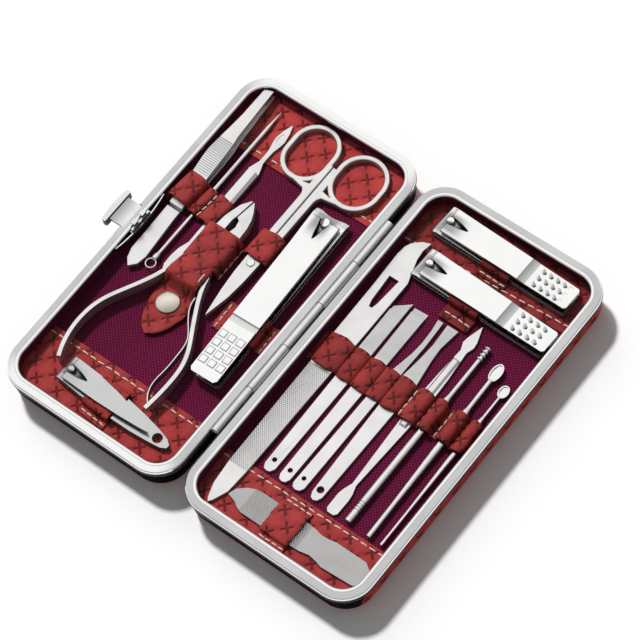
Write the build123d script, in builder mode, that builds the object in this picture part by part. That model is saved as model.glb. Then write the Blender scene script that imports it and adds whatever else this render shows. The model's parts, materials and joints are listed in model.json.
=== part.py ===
"""Two-half manicure case with its tool set, lying open and flat.

Millimetres. The origin is the middle of the base half's flat underside, +X runs across
the hinge toward the lid half, +Y runs along the hinge toward the head end, +Z is up.
Positions inside the case are measured from the hinge line (x) and the case's middle (y).
"""

from build123d import *
from dataclasses import dataclass, replace
from math import atan2, cos, degrees, radians, sin
import os

# ---------------------------------------------------------------- case halves
HALF_W = 80.6  # one half, across the hinge
HALF_L = 155.0  # one half, along the hinge
HALF_H = 13.5  # one half, rest face to rim
FIT_X = HALF_W / 80.6  # the contents are laid out for a half of 80.6 by 155 and follow its size
FIT_Y = HALF_L / 155
CORNER_R = 12.5
HINGE_GAP = 3.1  # between the two halves' outer walls
CLOSED_GAP = 0.3  # between the two rims when the case is shut
HINGE_X = HALF_W / 2 + HINGE_GAP / 2
HINGE_Z = HALF_H + CLOSED_GAP / 2
LID_X = 2 * HINGE_X
BASE_X = 0.0

RIM_WIDTH = 4.4  # flange, outer wall to inner edge
RIM_WALL = 0.8
RIM_DEPTH = 3.4  # height of the rim's outer wall
RIM_CROWN = 0.35  # how far the outer wall bulges
FLANGE_T = 0.7
BEAD_W = 1.4  # bright rounded lip at the rim's inner edge
BEAD_RISE = 0.2
RIM_Z = HALF_H - RIM_DEPTH
FLANGE_Z = HALF_H - BEAD_RISE - FLANGE_T

SHELL_INSET = 0.8  # leather shell's wall, inside the rim's outer face
SHELL_ROLL_R = 5.0
UPSTAND_INSET = 1.2
CAVITY_INSET = 3.1
SHELL_FLOOR = 5.8
LINING_INSET = 3.2
LINING_T = 0.8
LINING_FLOOR_T = 1.15
LINING_Z = 7.0  # surface that the tools lie on
LINING_WALL_TOP = FLANGE_Z - 0.2
BAND_T = 0.6  # leather bands across both ends
BAND_Z = LINING_Z + BAND_T
SEAT_Z = BAND_Z + 0.05  # tools that cross a band lie on it
FLAT_SEAT_Z = LINING_Z + 0.05  # short tools lie on the lining
INNER_X = HALF_W / 2 - LINING_INSET - LINING_T
INNER_Y = HALF_L / 2 - LINING_INSET - LINING_T
INNER_R = CORNER_R - LINING_INSET - LINING_T

# ---------------------------------------------------------------- hinge
BARREL_R = 1.4
PIN_R = 0.6
PIN_FIT = 0.05
KNUCKLE_L = 20.4 * FIT_Y
KNUCKLE_GAP = 0.2
BARREL_START = -50.5 * FIT_Y
LEAF_T = 0.8
LEAF_TOP = HALF_H - BEAD_RISE - 0.1

# ---------------------------------------------------------------- latch
LATCH_Y = 0.8
NECK_W = 10.8
NECK_T = 1.15
NECK_Z = HALF_H - 2.3
SLOT_FIT = 0.15
CAP_W = 15.0
CAP_T = 2.0
CAP_BOW = 0.6
CAP_H = 3.5
CAP_Z = HALF_H - 4.1
CAP_REACH = 5.6  # cap's inner face to the rim's outer wall
PLATE_T = 0.8
PLATE_GAP = 0.35  # between rim's inner edge and hook plate
PLATE_W = 10.0
PLATE_Z = HALF_H - 3.2
HOOK_W = 2.2
HOOK_PITCH = 4.6
HOOK_NOSE = 0.95
HOOK_Z = HALF_H + CLOSED_GAP + FLANGE_T + BEAD_RISE + 0.15
HOOK_T = 0.6
BOW_T = 0.45
BOW_GAP = 0.25
BOW_RIVET_R = 0.8
BOW_H = 2.0
BOW_HALF = 14.0
BOW_DEPTH = 1.35
LATCH_TRAVEL = 1.2

# ---------------------------------------------------------------- leather straps
STRAP_T = 0.9
LOOP_T = 0.7
STRAP_CORNER = 1.2

# ---------------------------------------------------------------- scissors
SCISSOR_T = 2.4
BLADE_T = 1.05
BLADE_GAP = 0.15
SCISSOR_AT = (-33.6, 11.15)
SCISSOR_SCREW_R = 1.0
SCISSOR_HEAD_R = 1.5
RING_W = 2.0
LEFT_RING = (-10.6, 49.0, 16.0, 21.2)
RIGHT_RING = (12.1, 48.7, 17.0, 20.4)
SHANK_GAP = 0.15

# ---------------------------------------------------------------- nipper
NIPPER_AT = (-48.25, 6.0)
NIPPER_H = 5.1
NIPPER_DISC_R = 6.0
NIPPER_LAYER_GAP = 0.2
NIPPER_PIVOT_R = 2.0
NIPPER_BAR = 1.5  # handle bar, in plan
NIPPER_SPRING_T = 0.5

# ---------------------------------------------------------------- tweezers
TWEEZER_LEAF_T = 0.9
TWEEZER_WELD_Y = 14.2
TWEEZER_GAP = 0.1


def seat(x=0.0, y=0.0, z=LINING_Z):
    """Level plane at a place measured from the hinge line and the case's middle."""
    return Plane(origin=(HINGE_X + FIT_X * x, FIT_Y * y, z))


def side(x, y, z=LINING_Z, heading=0.0):
    """Upright plane whose local x runs along heading and whose local y is up."""
    a = radians(heading)
    spot = (HINGE_X + FIT_X * x, FIT_Y * y, z)
    return Plane(origin=spot, x_dir=(cos(a), sin(a), 0), z_dir=(sin(a), -cos(a), 0))


def turned(x, y, z, heading):
    """Level plane whose local x runs along heading."""
    a = radians(heading)
    spot = (HINGE_X + FIT_X * x, FIT_Y * y, z)
    return Plane(origin=spot, x_dir=(cos(a), sin(a), 0), z_dir=(0, 0, 1))


def half_outline(inset):
    """Rounded outline of a case half, moved inward by inset."""
    RectangleRounded(HALF_W - 2 * inset, HALF_L - 2 * inset, CORNER_R - inset)


def polygon(*points):
    """Filled outline through the points."""
    Polygon(*points, align=None)


def fitted(points, fit_u=FIT_X, fit_v=FIT_Y):
    """Points that follow the case's size."""
    return [(fit_u * u, fit_v * v) for u, v in points]


def plan(*points):
    """Filled outline on a level plane, following the case's size both ways."""
    polygon(*fitted(points))


def lengthwise(*points):
    """Filled outline on an upright plane that runs along the case."""
    polygon(*fitted(points, FIT_Y, 1))


def turned_bar(radii):
    """Half section of a turned bar from its (distance, radius) stations."""
    start = radii[0][0]
    end = radii[-1][0]
    return [(start, 0), *radii, (end, 0)]


# ================================================================ case halves
def make_shell(centre_x, slot_side):
    """Leather-covered tray of one half; slot_side is -1 where the latch neck passes, else 0."""
    with BuildPart() as shell:
        with BuildSketch(Plane((centre_x, 0, 0))):
            half_outline(SHELL_INSET)
        extrude(amount=RIM_Z)
        fillet(shell.edges().group_by(Axis.Z)[0], SHELL_ROLL_R)
        with BuildSketch(Plane((centre_x, 0, RIM_Z))):
            half_outline(UPSTAND_INSET)
        extrude(amount=FLANGE_Z - RIM_Z)
        with BuildSketch(Plane((centre_x, 0, SHELL_FLOOR))):
            half_outline(CAVITY_INSET)
        extrude(amount=HALF_H, mode=Mode.SUBTRACT)
        if slot_side:
            with Locations((centre_x + slot_side * HALF_W / 2, LATCH_Y, FLANGE_Z)):
                Box(12, NECK_W + 2 * SLOT_FIT, 2 * (FLANGE_Z - NECK_Z + SLOT_FIT), mode=Mode.SUBTRACT)
    return shell


def rim_corner(x, y, turn):
    """Quarter arc at one corner of the rim's outline, the corners taken clockwise."""
    sx = 1 if x > 0 else -1
    sy = 1 if y > 0 else -1
    along_y = (x, y - sy * CORNER_R)
    along_x = (x - sx * CORNER_R, y)
    inward = CORNER_R * (1 - cos(radians(45)))
    mid = (x - sx * inward, y - sy * inward)
    if turn % 2:
        ThreePointArc(along_x, mid, along_y)
    else:
        ThreePointArc(along_y, mid, along_x)


def make_rim(centre_x, slot_side):
    """Pressed steel frame of one half: crowned outer wall, flat flange, rounded inner lip."""
    x = HALF_W / 2
    y = HALF_L / 2
    facet = RIM_DEPTH - BEAD_RISE
    under = facet - FLANGE_T
    with BuildPart() as rim:
        with BuildLine(Plane((centre_x, 0, RIM_Z))) as path:
            Line((-x, 0), (-x, y - CORNER_R))
            rim_corner(-x, y, 0)
            Line((-x + CORNER_R, y), (x - CORNER_R, y))
            rim_corner(x, y, 1)
            Line((x, y - CORNER_R), (x, -y + CORNER_R))
            rim_corner(x, -y, 2)
            Line((x - CORNER_R, -y), (-x + CORNER_R, -y))
            rim_corner(-x, -y, 3)
            Line((-x, -y + CORNER_R), (-x, 0))
        with BuildSketch(Plane((centre_x - x, 0, RIM_Z), x_dir=(1, 0, 0), z_dir=(0, -1, 0))):
            with BuildLine():
                ThreePointArc((RIM_CROWN, 0), (0, facet / 2), (RIM_CROWN, facet - 0.3))
                Line((RIM_CROWN, facet - 0.3), (RIM_CROWN + 0.3, facet))
                Line((RIM_CROWN + 0.3, facet), (RIM_WIDTH - BEAD_W, facet))
                lip = (RIM_WIDTH - BEAD_W / 2, RIM_DEPTH)
                ThreePointArc((RIM_WIDTH - BEAD_W, facet), lip, (RIM_WIDTH, facet - 0.25))
                Line((RIM_WIDTH, facet - 0.25), (RIM_WIDTH, under))
                Line((RIM_WIDTH, under), (RIM_WALL, under))
                Line((RIM_WALL, under), (RIM_WALL, 0))
                Line((RIM_WALL, 0), (RIM_CROWN, 0))
            make_face()
        sweep(path=path.wires()[0])
        if slot_side:
            with Locations((centre_x + slot_side * (x - RIM_WALL / 2), LATCH_Y, FLANGE_Z)):
                Box(
                    2 * RIM_WALL + 1,
                    NECK_W + 2 * SLOT_FIT,
                    2 * (FLANGE_Z - NECK_Z + SLOT_FIT),
                    mode=Mode.SUBTRACT,
                )
    return rim


def make_lining(centre_x, notch_w, notch_z, latch_side):
    """Fabric-covered inner tray; a notch in the latch-side wall clears the latch."""
    with BuildPart() as lining:
        with BuildSketch(Plane((centre_x, 0, LINING_Z - LINING_FLOOR_T))):
            half_outline(LINING_INSET)
        extrude(amount=LINING_WALL_TOP - LINING_Z + LINING_FLOOR_T)
        with BuildSketch(Plane((centre_x, 0, LINING_Z))):
            half_outline(LINING_INSET + LINING_T)
        extrude(amount=HALF_H, mode=Mode.SUBTRACT)
        with Locations((centre_x + latch_side * (INNER_X + LINING_T / 2), LATCH_Y, notch_z)):
            Box(
                3 * LINING_T,
                notch_w,
                HALF_H,
                align=(Align.CENTER, Align.CENTER, Align.MIN),
                mode=Mode.SUBTRACT,
            )
    return lining


def make_band(centre_x, left_y, right_y, toward_head):
    """Leather band over the lining at one end, its free edge running from left_y to right_y."""
    far = INNER_Y + 5 if toward_head else -INNER_Y - 5
    with BuildPart() as band:
        with BuildSketch(Plane((centre_x, 0, LINING_Z))):
            RectangleRounded(2 * INNER_X - 0.1, 2 * INNER_Y - 0.1, INNER_R - 0.05)
        extrude(amount=BAND_T)
        with BuildSketch(Plane((centre_x, 0, LINING_Z))):
            left, right = FIT_Y * left_y, FIT_Y * right_y
            polygon((-HALF_W, left), (HALF_W, right), (HALF_W, far), (-HALF_W, far))
        extrude(amount=BAND_T, mode=Mode.INTERSECT)
    return band


def make_hinge_leaf(knuckles, leaf_side):
    """Knuckles on one side of the hinge, each with the leaf that joins it to its rim."""
    with BuildPart() as leaf:
        for k in knuckles:
            mid = BARREL_START + (k + 0.5) * KNUCKLE_L
            with Locations(Location((HINGE_X, mid, HINGE_Z), (90, 0, 0))):
                Cylinder(BARREL_R, KNUCKLE_L - KNUCKLE_GAP)
            with Locations((HINGE_X + leaf_side * HINGE_GAP / 4, mid, LEAF_TOP - LEAF_T / 2)):
                Box(HINGE_GAP / 2, KNUCKLE_L - KNUCKLE_GAP, LEAF_T)
            with Locations(Location((HINGE_X, mid, HINGE_Z), (90, 0, 0))):
                Cylinder(PIN_R + PIN_FIT, KNUCKLE_L, mode=Mode.SUBTRACT)
    return leaf


base_shell = make_shell(BASE_X, -1)
lid_shell = make_shell(LID_X, 0)
base_rim = make_rim(BASE_X, -1)
lid_rim = make_rim(LID_X, 0)
base_lining = make_lining(BASE_X, 31.0, PLATE_Z - 0.4, -1)
lid_lining = make_lining(LID_X, 9.0, HALF_H - 2.4, 1)
base_head_band = make_band(BASE_X, 47.9, 47.9, True)
base_foot_band = make_band(BASE_X, -48.6, -48.6, False)
lid_head_band = make_band(LID_X, 50.2, 53.6, True)
lid_foot_band = make_band(LID_X, -51.1, -51.1, False)
base_hinge_leaf = make_hinge_leaf((0, 2, 4), -1)
lid_hinge_leaf = make_hinge_leaf((1, 3), 1)

with BuildPart() as hinge_pin:
    with Locations(Location((HINGE_X, BARREL_START + 2.5 * KNUCKLE_L, HINGE_Z), (90, 0, 0))):
        Cylinder(PIN_R, 5 * KNUCKLE_L - 0.4)

# ================================================================ latch
RIM_OUT_X = -HALF_W / 2
RIM_IN_X = RIM_OUT_X + RIM_WIDTH
PLATE_X = RIM_IN_X + PLATE_GAP
CAP_X = RIM_OUT_X - CAP_REACH

with BuildPart() as latch_button:
    with BuildSketch(Plane((CAP_X, LATCH_Y, CAP_Z))):
        with BuildLine():
            ThreePointArc((-CAP_T, -CAP_W / 2), (-CAP_T - CAP_BOW, 0), (-CAP_T, CAP_W / 2))
            Line((-CAP_T, CAP_W / 2), (0, CAP_W / 2))
            Line((0, CAP_W / 2), (0, -CAP_W / 2))
            Line((0, -CAP_W / 2), (-CAP_T, -CAP_W / 2))
        make_face()
    extrude(amount=CAP_H)
    fillet(latch_button.edges().filter_by(Axis.Z), 0.7)
    neck_l = PLATE_X - CAP_X + PLATE_T
    with Locations((CAP_X, LATCH_Y, NECK_Z)):
        Box(neck_l, NECK_W, NECK_T, align=(Align.MIN, Align.CENTER, Align.MIN))
    with Locations((PLATE_X, LATCH_Y, PLATE_Z)):
        Box(PLATE_T, PLATE_W, HALF_H - PLATE_Z, align=(Align.MIN, Align.CENTER, Align.MIN))
    with Locations((PLATE_X, LATCH_Y - HOOK_PITCH / 2, 0), (PLATE_X, LATCH_Y + HOOK_PITCH / 2, 0)):
        with Locations((0, 0, HALF_H - 1)):
            up = HOOK_Z + HOOK_T - HALF_H + 1
            Box(PLATE_T, HOOK_W, up, align=(Align.MIN, Align.CENTER, Align.MIN))
        with Locations((-HOOK_NOSE, 0, HOOK_Z)):
            nose_l = HOOK_NOSE + PLATE_T
            Box(nose_l, HOOK_W, HOOK_T, align=(Align.MIN, Align.CENTER, Align.MIN))

with BuildPart() as latch_spring:
    with BuildSketch(Plane((PLATE_X + PLATE_T + BOW_GAP + BOW_T / 2, LATCH_Y, PLATE_Z))):
        with BuildLine():
            ThreePointArc((-BOW_DEPTH, -BOW_HALF), (0, 0), (-BOW_DEPTH, BOW_HALF))
        trace(line_width=BOW_T)
    extrude(amount=BOW_H)
    with Locations(Location((PLATE_X + PLATE_T, LATCH_Y, PLATE_Z + BOW_H / 2), (0, 90, 0))):
        rivet = (Align.CENTER, Align.CENTER, Align.MIN)
        Cylinder(BOW_RIVET_R, BOW_GAP + BOW_T / 2, align=rivet)


# ================================================================ straps
def make_strap(plane, width, flat, loops, thick=STRAP_T, fit=(FIT_X, FIT_Y)):
    """Leather strip along the plane's local x, width along its normal.

    flat is the strip's (start, end); each loop is (start, end, inside height); fit is how
    the strip follows the case's size, along and across.
    """
    along, across = fit
    start, end = along * flat[0], along * flat[1]
    loops = [(along * a, along * b, h) for a, b, h in loops]
    top = 2 * max(h for _, _, h in loops) + 4 * thick
    with BuildPart() as strap:
        with BuildSketch(plane):
            with Locations(((start + end) / 2, 0)):
                Rectangle(end - start, thick, align=(Align.CENTER, Align.MIN))
            for a, b, h in loops:
                with Locations(((a + b) / 2, 0)):
                    r = min(STRAP_CORNER + thick, h + thick - 0.05)
                    RectangleRounded(b - a + 2 * thick, 2 * (h + thick), r)
            for a, b, h in loops:
                with Locations(((a + b) / 2, 0)):
                    r = min(STRAP_CORNER, 0.4 * h, (b - a) / 2 - 0.05)
                    RectangleRounded(b - a, 2 * h, r, mode=Mode.SUBTRACT)
            with Locations(((start + end) / 2, 0)):
                half = (Align.CENTER, Align.MIN)
                Rectangle(end - start + 20, top, align=half, mode=Mode.INTERSECT)
        extrude(amount=across * width / 2, both=True)
    return strap


TOOL_LIFT = SEAT_Z - LINING_Z

base_tool_strap = make_strap(
    side(-75.5, 22.3, heading=-5.0),
    12.4,
    (-2.0, 22.0),
    [(-0.35, 8.2, 5.6), (9.1, 12.4, TOOL_LIFT + 2.3), (14.6, 21.1, TOOL_LIFT + 2.8)],
)
scissors_strap = make_strap(
    side(-38.9, 19.3),
    12.2,
    (-0.55, 11.3),
    [(0.5, 10.2, TOOL_LIFT + SCISSOR_T + 0.3)],
)

# ================================================================ scissors
SCREW_X, SCREW_Y = SCISSOR_AT
BLADE = [(-3.1, 1.8), (-2.9, -6.0), (-2.2, -14.0), (-0.7, -24.5), (-0.4, -26.0)]
BLADE += [(0.0, -24.8), (1.9, -16.0), (2.7, -8.0), (3.0, 1.8)]
CROSSING_Y = 12.2
SCISSOR_ROUND = 0.5
SHANK_Y = 12.9
TOP_BLADE_Z = BLADE_T + BLADE_GAP


def scissor_ring(ring, shank_x0, shank_x1, seam_x):
    """Ring and shank of one scissor half, in plan, cut off at the seam between the halves."""
    (cx, cy), (w, h) = fitted((ring[:2], ring[2:]))
    sign = 1 if cx > 0 else -1
    with Locations((cx, cy)):
        SlotOverall(h + 2 * RING_W, w + 2 * RING_W, rotation=90)
    low = FIT_Y * SHANK_Y
    polygon((shank_x0, low), (shank_x1, low), (shank_x1, cy), (shank_x0, cy))
    outer = shank_x1 if sign > 0 else shank_x0
    foot = cy - h / 2 - RING_W
    polygon(
        (outer, foot + 2.0),
        (outer, foot - 3.6),
        (outer + sign * 0.35, foot - 2.2),
        (outer + sign * 1.2, foot - 0.9),
        (cx, foot + 0.3),
    )
    with Locations((cx, cy)):
        SlotOverall(h, w, rotation=90, mode=Mode.SUBTRACT)
    with Locations((seam_x - sign * 30, 0)):
        Rectangle(60, 200, mode=Mode.SUBTRACT)


with BuildPart() as scissors_blade_fixed:
    with BuildSketch(seat(SCREW_X, SCREW_Y, SEAT_Z)):
        scissor_ring(LEFT_RING, -3.0, 0.2 - SHANK_GAP, 0.2 - SHANK_GAP)
    extrude(amount=SCISSOR_T)
    fillet(scissors_blade_fixed.edges().group_by(Axis.Z)[-1], SCISSOR_ROUND)
    with BuildSketch(seat(SCREW_X, SCREW_Y, SEAT_Z)):
        plan(*BLADE, (3.0, CROSSING_Y), (0.0, CROSSING_Y), (0.0, SHANK_Y + 2), (-2.9, SHANK_Y + 2))
    extrude(amount=BLADE_T)
    with BuildSketch(seat(SCREW_X, SCREW_Y, SEAT_Z)):
        Circle(SCISSOR_SCREW_R)
    extrude(amount=BLADE_T, mode=Mode.SUBTRACT)

with BuildPart() as scissors_blade_moving:
    with BuildSketch(seat(SCREW_X, SCREW_Y, SEAT_Z + 0.1)):
        scissor_ring(RIGHT_RING, 0.2 + SHANK_GAP, 3.4, 0.2 + SHANK_GAP)
    extrude(amount=SCISSOR_T - 0.1)
    fillet(scissors_blade_moving.edges().group_by(Axis.Z)[-1], SCISSOR_ROUND)
    with BuildSketch(seat(SCREW_X, SCREW_Y, SEAT_Z + TOP_BLADE_Z)):
        plan(*BLADE, (3.1, SHANK_Y + 2), (0.5, SHANK_Y + 2), (0.5, CROSSING_Y), (-3.1, CROSSING_Y))
    extrude(amount=BLADE_T)
    with BuildSketch(seat(SCREW_X, SCREW_Y, SEAT_Z + TOP_BLADE_Z)):
        Circle(SCISSOR_SCREW_R + PIN_FIT)
    extrude(amount=BLADE_T, mode=Mode.SUBTRACT)

with BuildPart() as scissors_screw:
    with BuildSketch(seat(SCREW_X, SCREW_Y, SEAT_Z)):
        Circle(SCISSOR_SCREW_R)
    extrude(amount=TOP_BLADE_Z + BLADE_T + 0.1)
    with BuildSketch(seat(SCREW_X, SCREW_Y, SEAT_Z + TOP_BLADE_Z + BLADE_T + 0.06)):
        Circle(SCISSOR_HEAD_R)
    extrude(amount=0.4)
    chamfer(scissors_screw.faces().sort_by(Axis.Z)[-1].edges(), 0.12)

# ================================================================ nipper
NIP_X, NIP_Y = NIPPER_AT
NIP_Z = SEAT_Z
NIP_LAYER = (NIPPER_H - NIPPER_LAYER_GAP) / 2
LEFT_HANDLE = [(-7.9, -13.0), (-12.1, -23.8), (-16.6, -31.8), (-20.0, -38.8), (-21.6, -46.8)]
LEFT_HANDLE += [(-21.6, -51.8), (-20.5, -58.4), (-18.0, -65.0)]
RIGHT_HANDLE = [(6.6, -9.5), (9.0, -16.9), (12.6, -23.9), (16.6, -30.9), (19.9, -36.9)]
RIGHT_HANDLE += [(21.8, -42.9), (22.3, -49.9), (22.0, -56.9), (21.3, -63.2)]
NIPPER_SPRING = [(8.0, -18.2), (13.2, -28.7), (16.6, -33.7), (17.4, -39.7), (17.5, -46.7)]
NIPPER_SPRING += [(17.3, -54.7), (19.0, -59.0), (20.6, -60.9)]
LEFT_JAW = [(-0.35, 25.2), (-0.8, 25.4), (-3.0, 21.6), (-4.2, 15.6), (-4.9, 9.0)]
LEFT_JAW += [(-1.0, 9.0), (-1.0, 15.0), (-0.75, 16.4)]
RIGHT_JAW = [(0.3, 25.4), (0.6, 25.2), (3.2, 21.4), (4.7, 18.4), (5.9, 14.4), (6.2, 9.0)]
RIGHT_JAW += [(1.2, 9.0), (2.0, 12.5), (1.3, 15.5), (-0.2, 16.4)]


NIPPER_LIFT = 0.1  # the moving half stays clear of the lining
RELIEF_AT = (-57.5, -2.6)  # the pusher's end passes under the nipper's left root
RELIEF = (7.4, 15.6)
RELIEF_H = 1.3

with BuildPart() as nipper_half_left:
    with BuildSketch(seat(NIP_X, NIP_Y, NIP_Z)):
        plan(*RIGHT_JAW)
    extrude(amount=NIPPER_H)
    with BuildSketch(side(NIP_X, NIP_Y, NIP_Z, 90)):
        lengthwise((14, NIPPER_H), (27, NIPPER_H - 2.4), (27, NIPPER_H + 1), (14, NIPPER_H + 1))
    extrude(amount=20, both=True, mode=Mode.SUBTRACT)
    with BuildSketch(seat(NIP_X, NIP_Y, NIP_Z)):
        Circle(NIPPER_DISC_R)
        plan((1.0, 3.0), (6.2, 3.0), (6.2, 10.0), (1.2, 10.0))
        plan((-6.0, 0.0), (-0.5, -5.8), (-6.6, -14.2), (-9.0, -13.6), (-6.7, -7.5))
    extrude(amount=NIP_LAYER)
    with BuildSketch(seat(NIP_X, NIP_Y, NIP_Z)):
        with BuildLine():
            Spline(*fitted(LEFT_HANDLE))
        trace(line_width=NIPPER_BAR)
    extrude(amount=NIPPER_H)
    with BuildSketch(seat(NIP_X, NIP_Y, NIP_Z)):
        Circle(NIPPER_PIVOT_R)
    extrude(amount=NIP_LAYER, mode=Mode.SUBTRACT)
    with BuildSketch(seat(*RELIEF_AT, NIP_Z)):
        Rectangle(*fitted([RELIEF])[0])
    extrude(amount=RELIEF_H, mode=Mode.SUBTRACT)

with BuildPart() as nipper_half_right:
    with BuildSketch(seat(NIP_X, NIP_Y, NIP_Z + NIPPER_LIFT)):
        plan(*LEFT_JAW)
    extrude(amount=NIPPER_H - NIPPER_LIFT)
    with BuildSketch(side(NIP_X, NIP_Y, NIP_Z, 90)):
        lengthwise((14, NIPPER_H), (27, NIPPER_H - 2.4), (27, NIPPER_H + 1), (14, NIPPER_H + 1))
    extrude(amount=20, both=True, mode=Mode.SUBTRACT)
    with BuildSketch(seat(NIP_X, NIP_Y, NIP_Z + NIP_LAYER + NIPPER_LAYER_GAP)):
        Circle(NIPPER_DISC_R)
        plan((-5.2, 3.0), (-1.0, 3.0), (-1.0, 10.0), (-4.9, 10.0))
        plan((0.5, -5.8), (6.0, 0.0), (6.5, -7.5), (7.9, -11.0), (5.4, -11.0))
    extrude(amount=NIP_LAYER)
    with BuildSketch(seat(NIP_X, NIP_Y, NIP_Z + NIPPER_LIFT)):
        with BuildLine():
            Spline(*fitted(RIGHT_HANDLE))
        trace(line_width=NIPPER_BAR)
    extrude(amount=NIPPER_H - NIPPER_LIFT)
    with BuildSketch(side(NIP_X, NIP_Y, NIP_Z, 90)):
        lengthwise((-61.3, -1), (-61.3, 2.9), (-70, 2.9), (-70, -1))
    extrude(amount=30, both=True, mode=Mode.SUBTRACT)
    with BuildSketch(seat(NIP_X, NIP_Y, NIP_Z + NIP_LAYER)):
        Circle(NIPPER_PIVOT_R + PIN_FIT)
    extrude(amount=NIPPER_H, mode=Mode.SUBTRACT)

with BuildPart() as nipper_pivot:
    with BuildSketch(seat(NIP_X, NIP_Y, NIP_Z)):
        Circle(NIPPER_PIVOT_R)
    extrude(amount=NIPPER_H)

with BuildPart() as nipper_spring:
    with BuildSketch(seat(NIP_X, NIP_Y, NIP_Z + 1.3)):
        with BuildLine():
            Spline(*fitted(NIPPER_SPRING))
        trace(line_width=NIPPER_SPRING_T)
    extrude(amount=NIPPER_H - 1.7)

# ---- strap over the nipper: sewn loop, then a free flap with its press stud
NIP_STRAP_IN = NIP_Z + NIPPER_H + 0.3 - LINING_Z  # inside height of the loop
FLAP_AXIS_Y = -1.0
FLAP_AXIS_Z = LINING_Z + NIP_STRAP_IN + STRAP_T / 2
LOOP_END_Y = FLAP_AXIS_Y + STRAP_T / 2 + 0.15
LOOP_HEAD_Y = 15.6
FLAP_LOW_Z = 8.2
FLAP_DROP_Y = -9.8
FLAP_FOOT_Y = -12.9
FLAP_TIP_Y = -32.6
STUD_AT = (-49.0, -18.3)
STUD_CAP_R = 4.65
STUD_CAP_H = 1.3
STUD_R = 1.45

FLAP_RIGHT = [(7.0, 1.0), (7.0, -10.0), (7.1, -13.2), (8.3, -16.5), (8.2, -20.5), (6.2, -26.3)]
FLAP_RIGHT += [(2.8, -31.0), (0.2, -32.5)]
FLAP_LEFT = [(0.2, -32.5), (-3.0, -30.8), (-6.0, -26.3), (-7.8, -21.3), (-8.2, -16.3), (-7.9, -11.0)]
FLAP_LEFT += [(-7.6, 1.0), (7.0, 1.0)]

plain_loop = make_strap(
    side(NIP_X, (LOOP_END_Y + LOOP_HEAD_Y) / 2),
    LOOP_HEAD_Y - LOOP_END_Y,
    (-7.9, 8.6),
    [(-7.0, 7.0, NIP_STRAP_IN)],
)
with BuildPart() as nipper_strap_loop:
    add(plain_loop)
    with BuildSketch(seat(*RELIEF_AT, LINING_Z)):
        Rectangle(*fitted([RELIEF])[0])
    extrude(amount=TOOL_LIFT + RELIEF_H, mode=Mode.SUBTRACT)
    with BuildSketch(seat(NIP_X - 10, LOOP_HEAD_Y)):
        Rectangle(9.4 * FIT_X, 4.2)
    extrude(amount=10, mode=Mode.SUBTRACT)

with BuildPart() as nipper_strap_flap:
    t = STRAP_T / 2
    with BuildSketch(side(NIP_X, 0, 0, 90)):
        lengthwise(
            (FLAP_AXIS_Y, FLAP_AXIS_Z + t),
            (FLAP_DROP_Y - 0.5, FLAP_AXIS_Z + t),
            (FLAP_FOOT_Y - 0.5, FLAP_LOW_Z + t),
            (FLAP_TIP_Y, FLAP_LOW_Z + t),
            (FLAP_TIP_Y, FLAP_LOW_Z - t),
            (FLAP_FOOT_Y + 0.2, FLAP_LOW_Z - t),
            (FLAP_DROP_Y + 0.2, FLAP_AXIS_Z - t),
            (FLAP_AXIS_Y, FLAP_AXIS_Z - t),
        )
        with Locations((FIT_Y * FLAP_AXIS_Y, FLAP_AXIS_Z)):
            Circle(t)
    extrude(amount=20, both=True)
    with BuildSketch(seat(NIP_X, 0, 0)):
        with BuildLine():
            Polyline(*fitted(FLAP_RIGHT[:3]))
            Spline(*fitted(FLAP_RIGHT[2:]))
            Spline(*fitted(FLAP_LEFT[:6]))
            Polyline(*fitted(FLAP_LEFT[5:]))
        make_face()
    extrude(amount=30, mode=Mode.INTERSECT)
    with BuildSketch(seat(*STUD_AT, FLAP_LOW_Z - 1)):
        Circle(STUD_R + 0.05)
    extrude(amount=3, mode=Mode.SUBTRACT)

with BuildPart() as snap_cap:
    cap_z = FLAP_LOW_Z + STRAP_T / 2
    with BuildSketch(seat(*STUD_AT, cap_z)):
        Circle(STUD_CAP_R)
    extrude(amount=STUD_CAP_H)
    fillet(snap_cap.edges().group_by(Axis.Z)[-1], STUD_CAP_H * 0.7)
    with BuildSketch(seat(*STUD_AT, LINING_Z + 0.15)):
        Circle(STUD_R)
    extrude(amount=cap_z - LINING_Z - 0.15)

# ================================================================ tweezers
TWEEZER_PLAN = [(-74.6, 71.2), (-71.2, 72.2), (-70.1, 58.0), (-69.6, 49.5), (-68.8, 44.5)]
TWEEZER_PLAN += [(-68.4, 37.0), (-68.4, 28.0), (-69.2, 15.8), (-68.9, 8.5), (-67.6, -8.5)]
TWEEZER_PLAN += [(-68.4, -12.5), (-70.9, -15.1), (-73.2, -12.5), (-74.5, -8.5), (-74.6, 0.5)]
TWEEZER_PLAN += [(-75.0, 15.8), (-74.9, 28.0), (-75.6, 35.0), (-75.7, 39.5), (-75.3, 44.5)]
TWEEZER_PLAN += [(-74.8, 49.5), (-74.3, 58.0)]


def tweezer_leaf(profile):
    """Leaf from its side profile (y, height), trimmed to the tweezers' outline."""
    with BuildPart() as leaf:
        with BuildSketch(side(-72, 0, SEAT_Z, 90)):
            lengthwise(*profile)
        extrude(amount=12, both=True)
        with BuildSketch(seat(0, 0, SEAT_Z)):
            plan(*TWEEZER_PLAN)
        extrude(amount=HALF_H, mode=Mode.INTERSECT)
    return leaf


LEAF = TWEEZER_LEAF_T
tweezers_lower_arm = tweezer_leaf(
    [(-20, 0), (80, 0), (80, LEAF + 0.2), (50, LEAF - 0.1), (TWEEZER_WELD_Y, LEAF)]
    + [(TWEEZER_WELD_Y - 1.2, 2 * LEAF), (-20, 2 * LEAF)]
)

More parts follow.
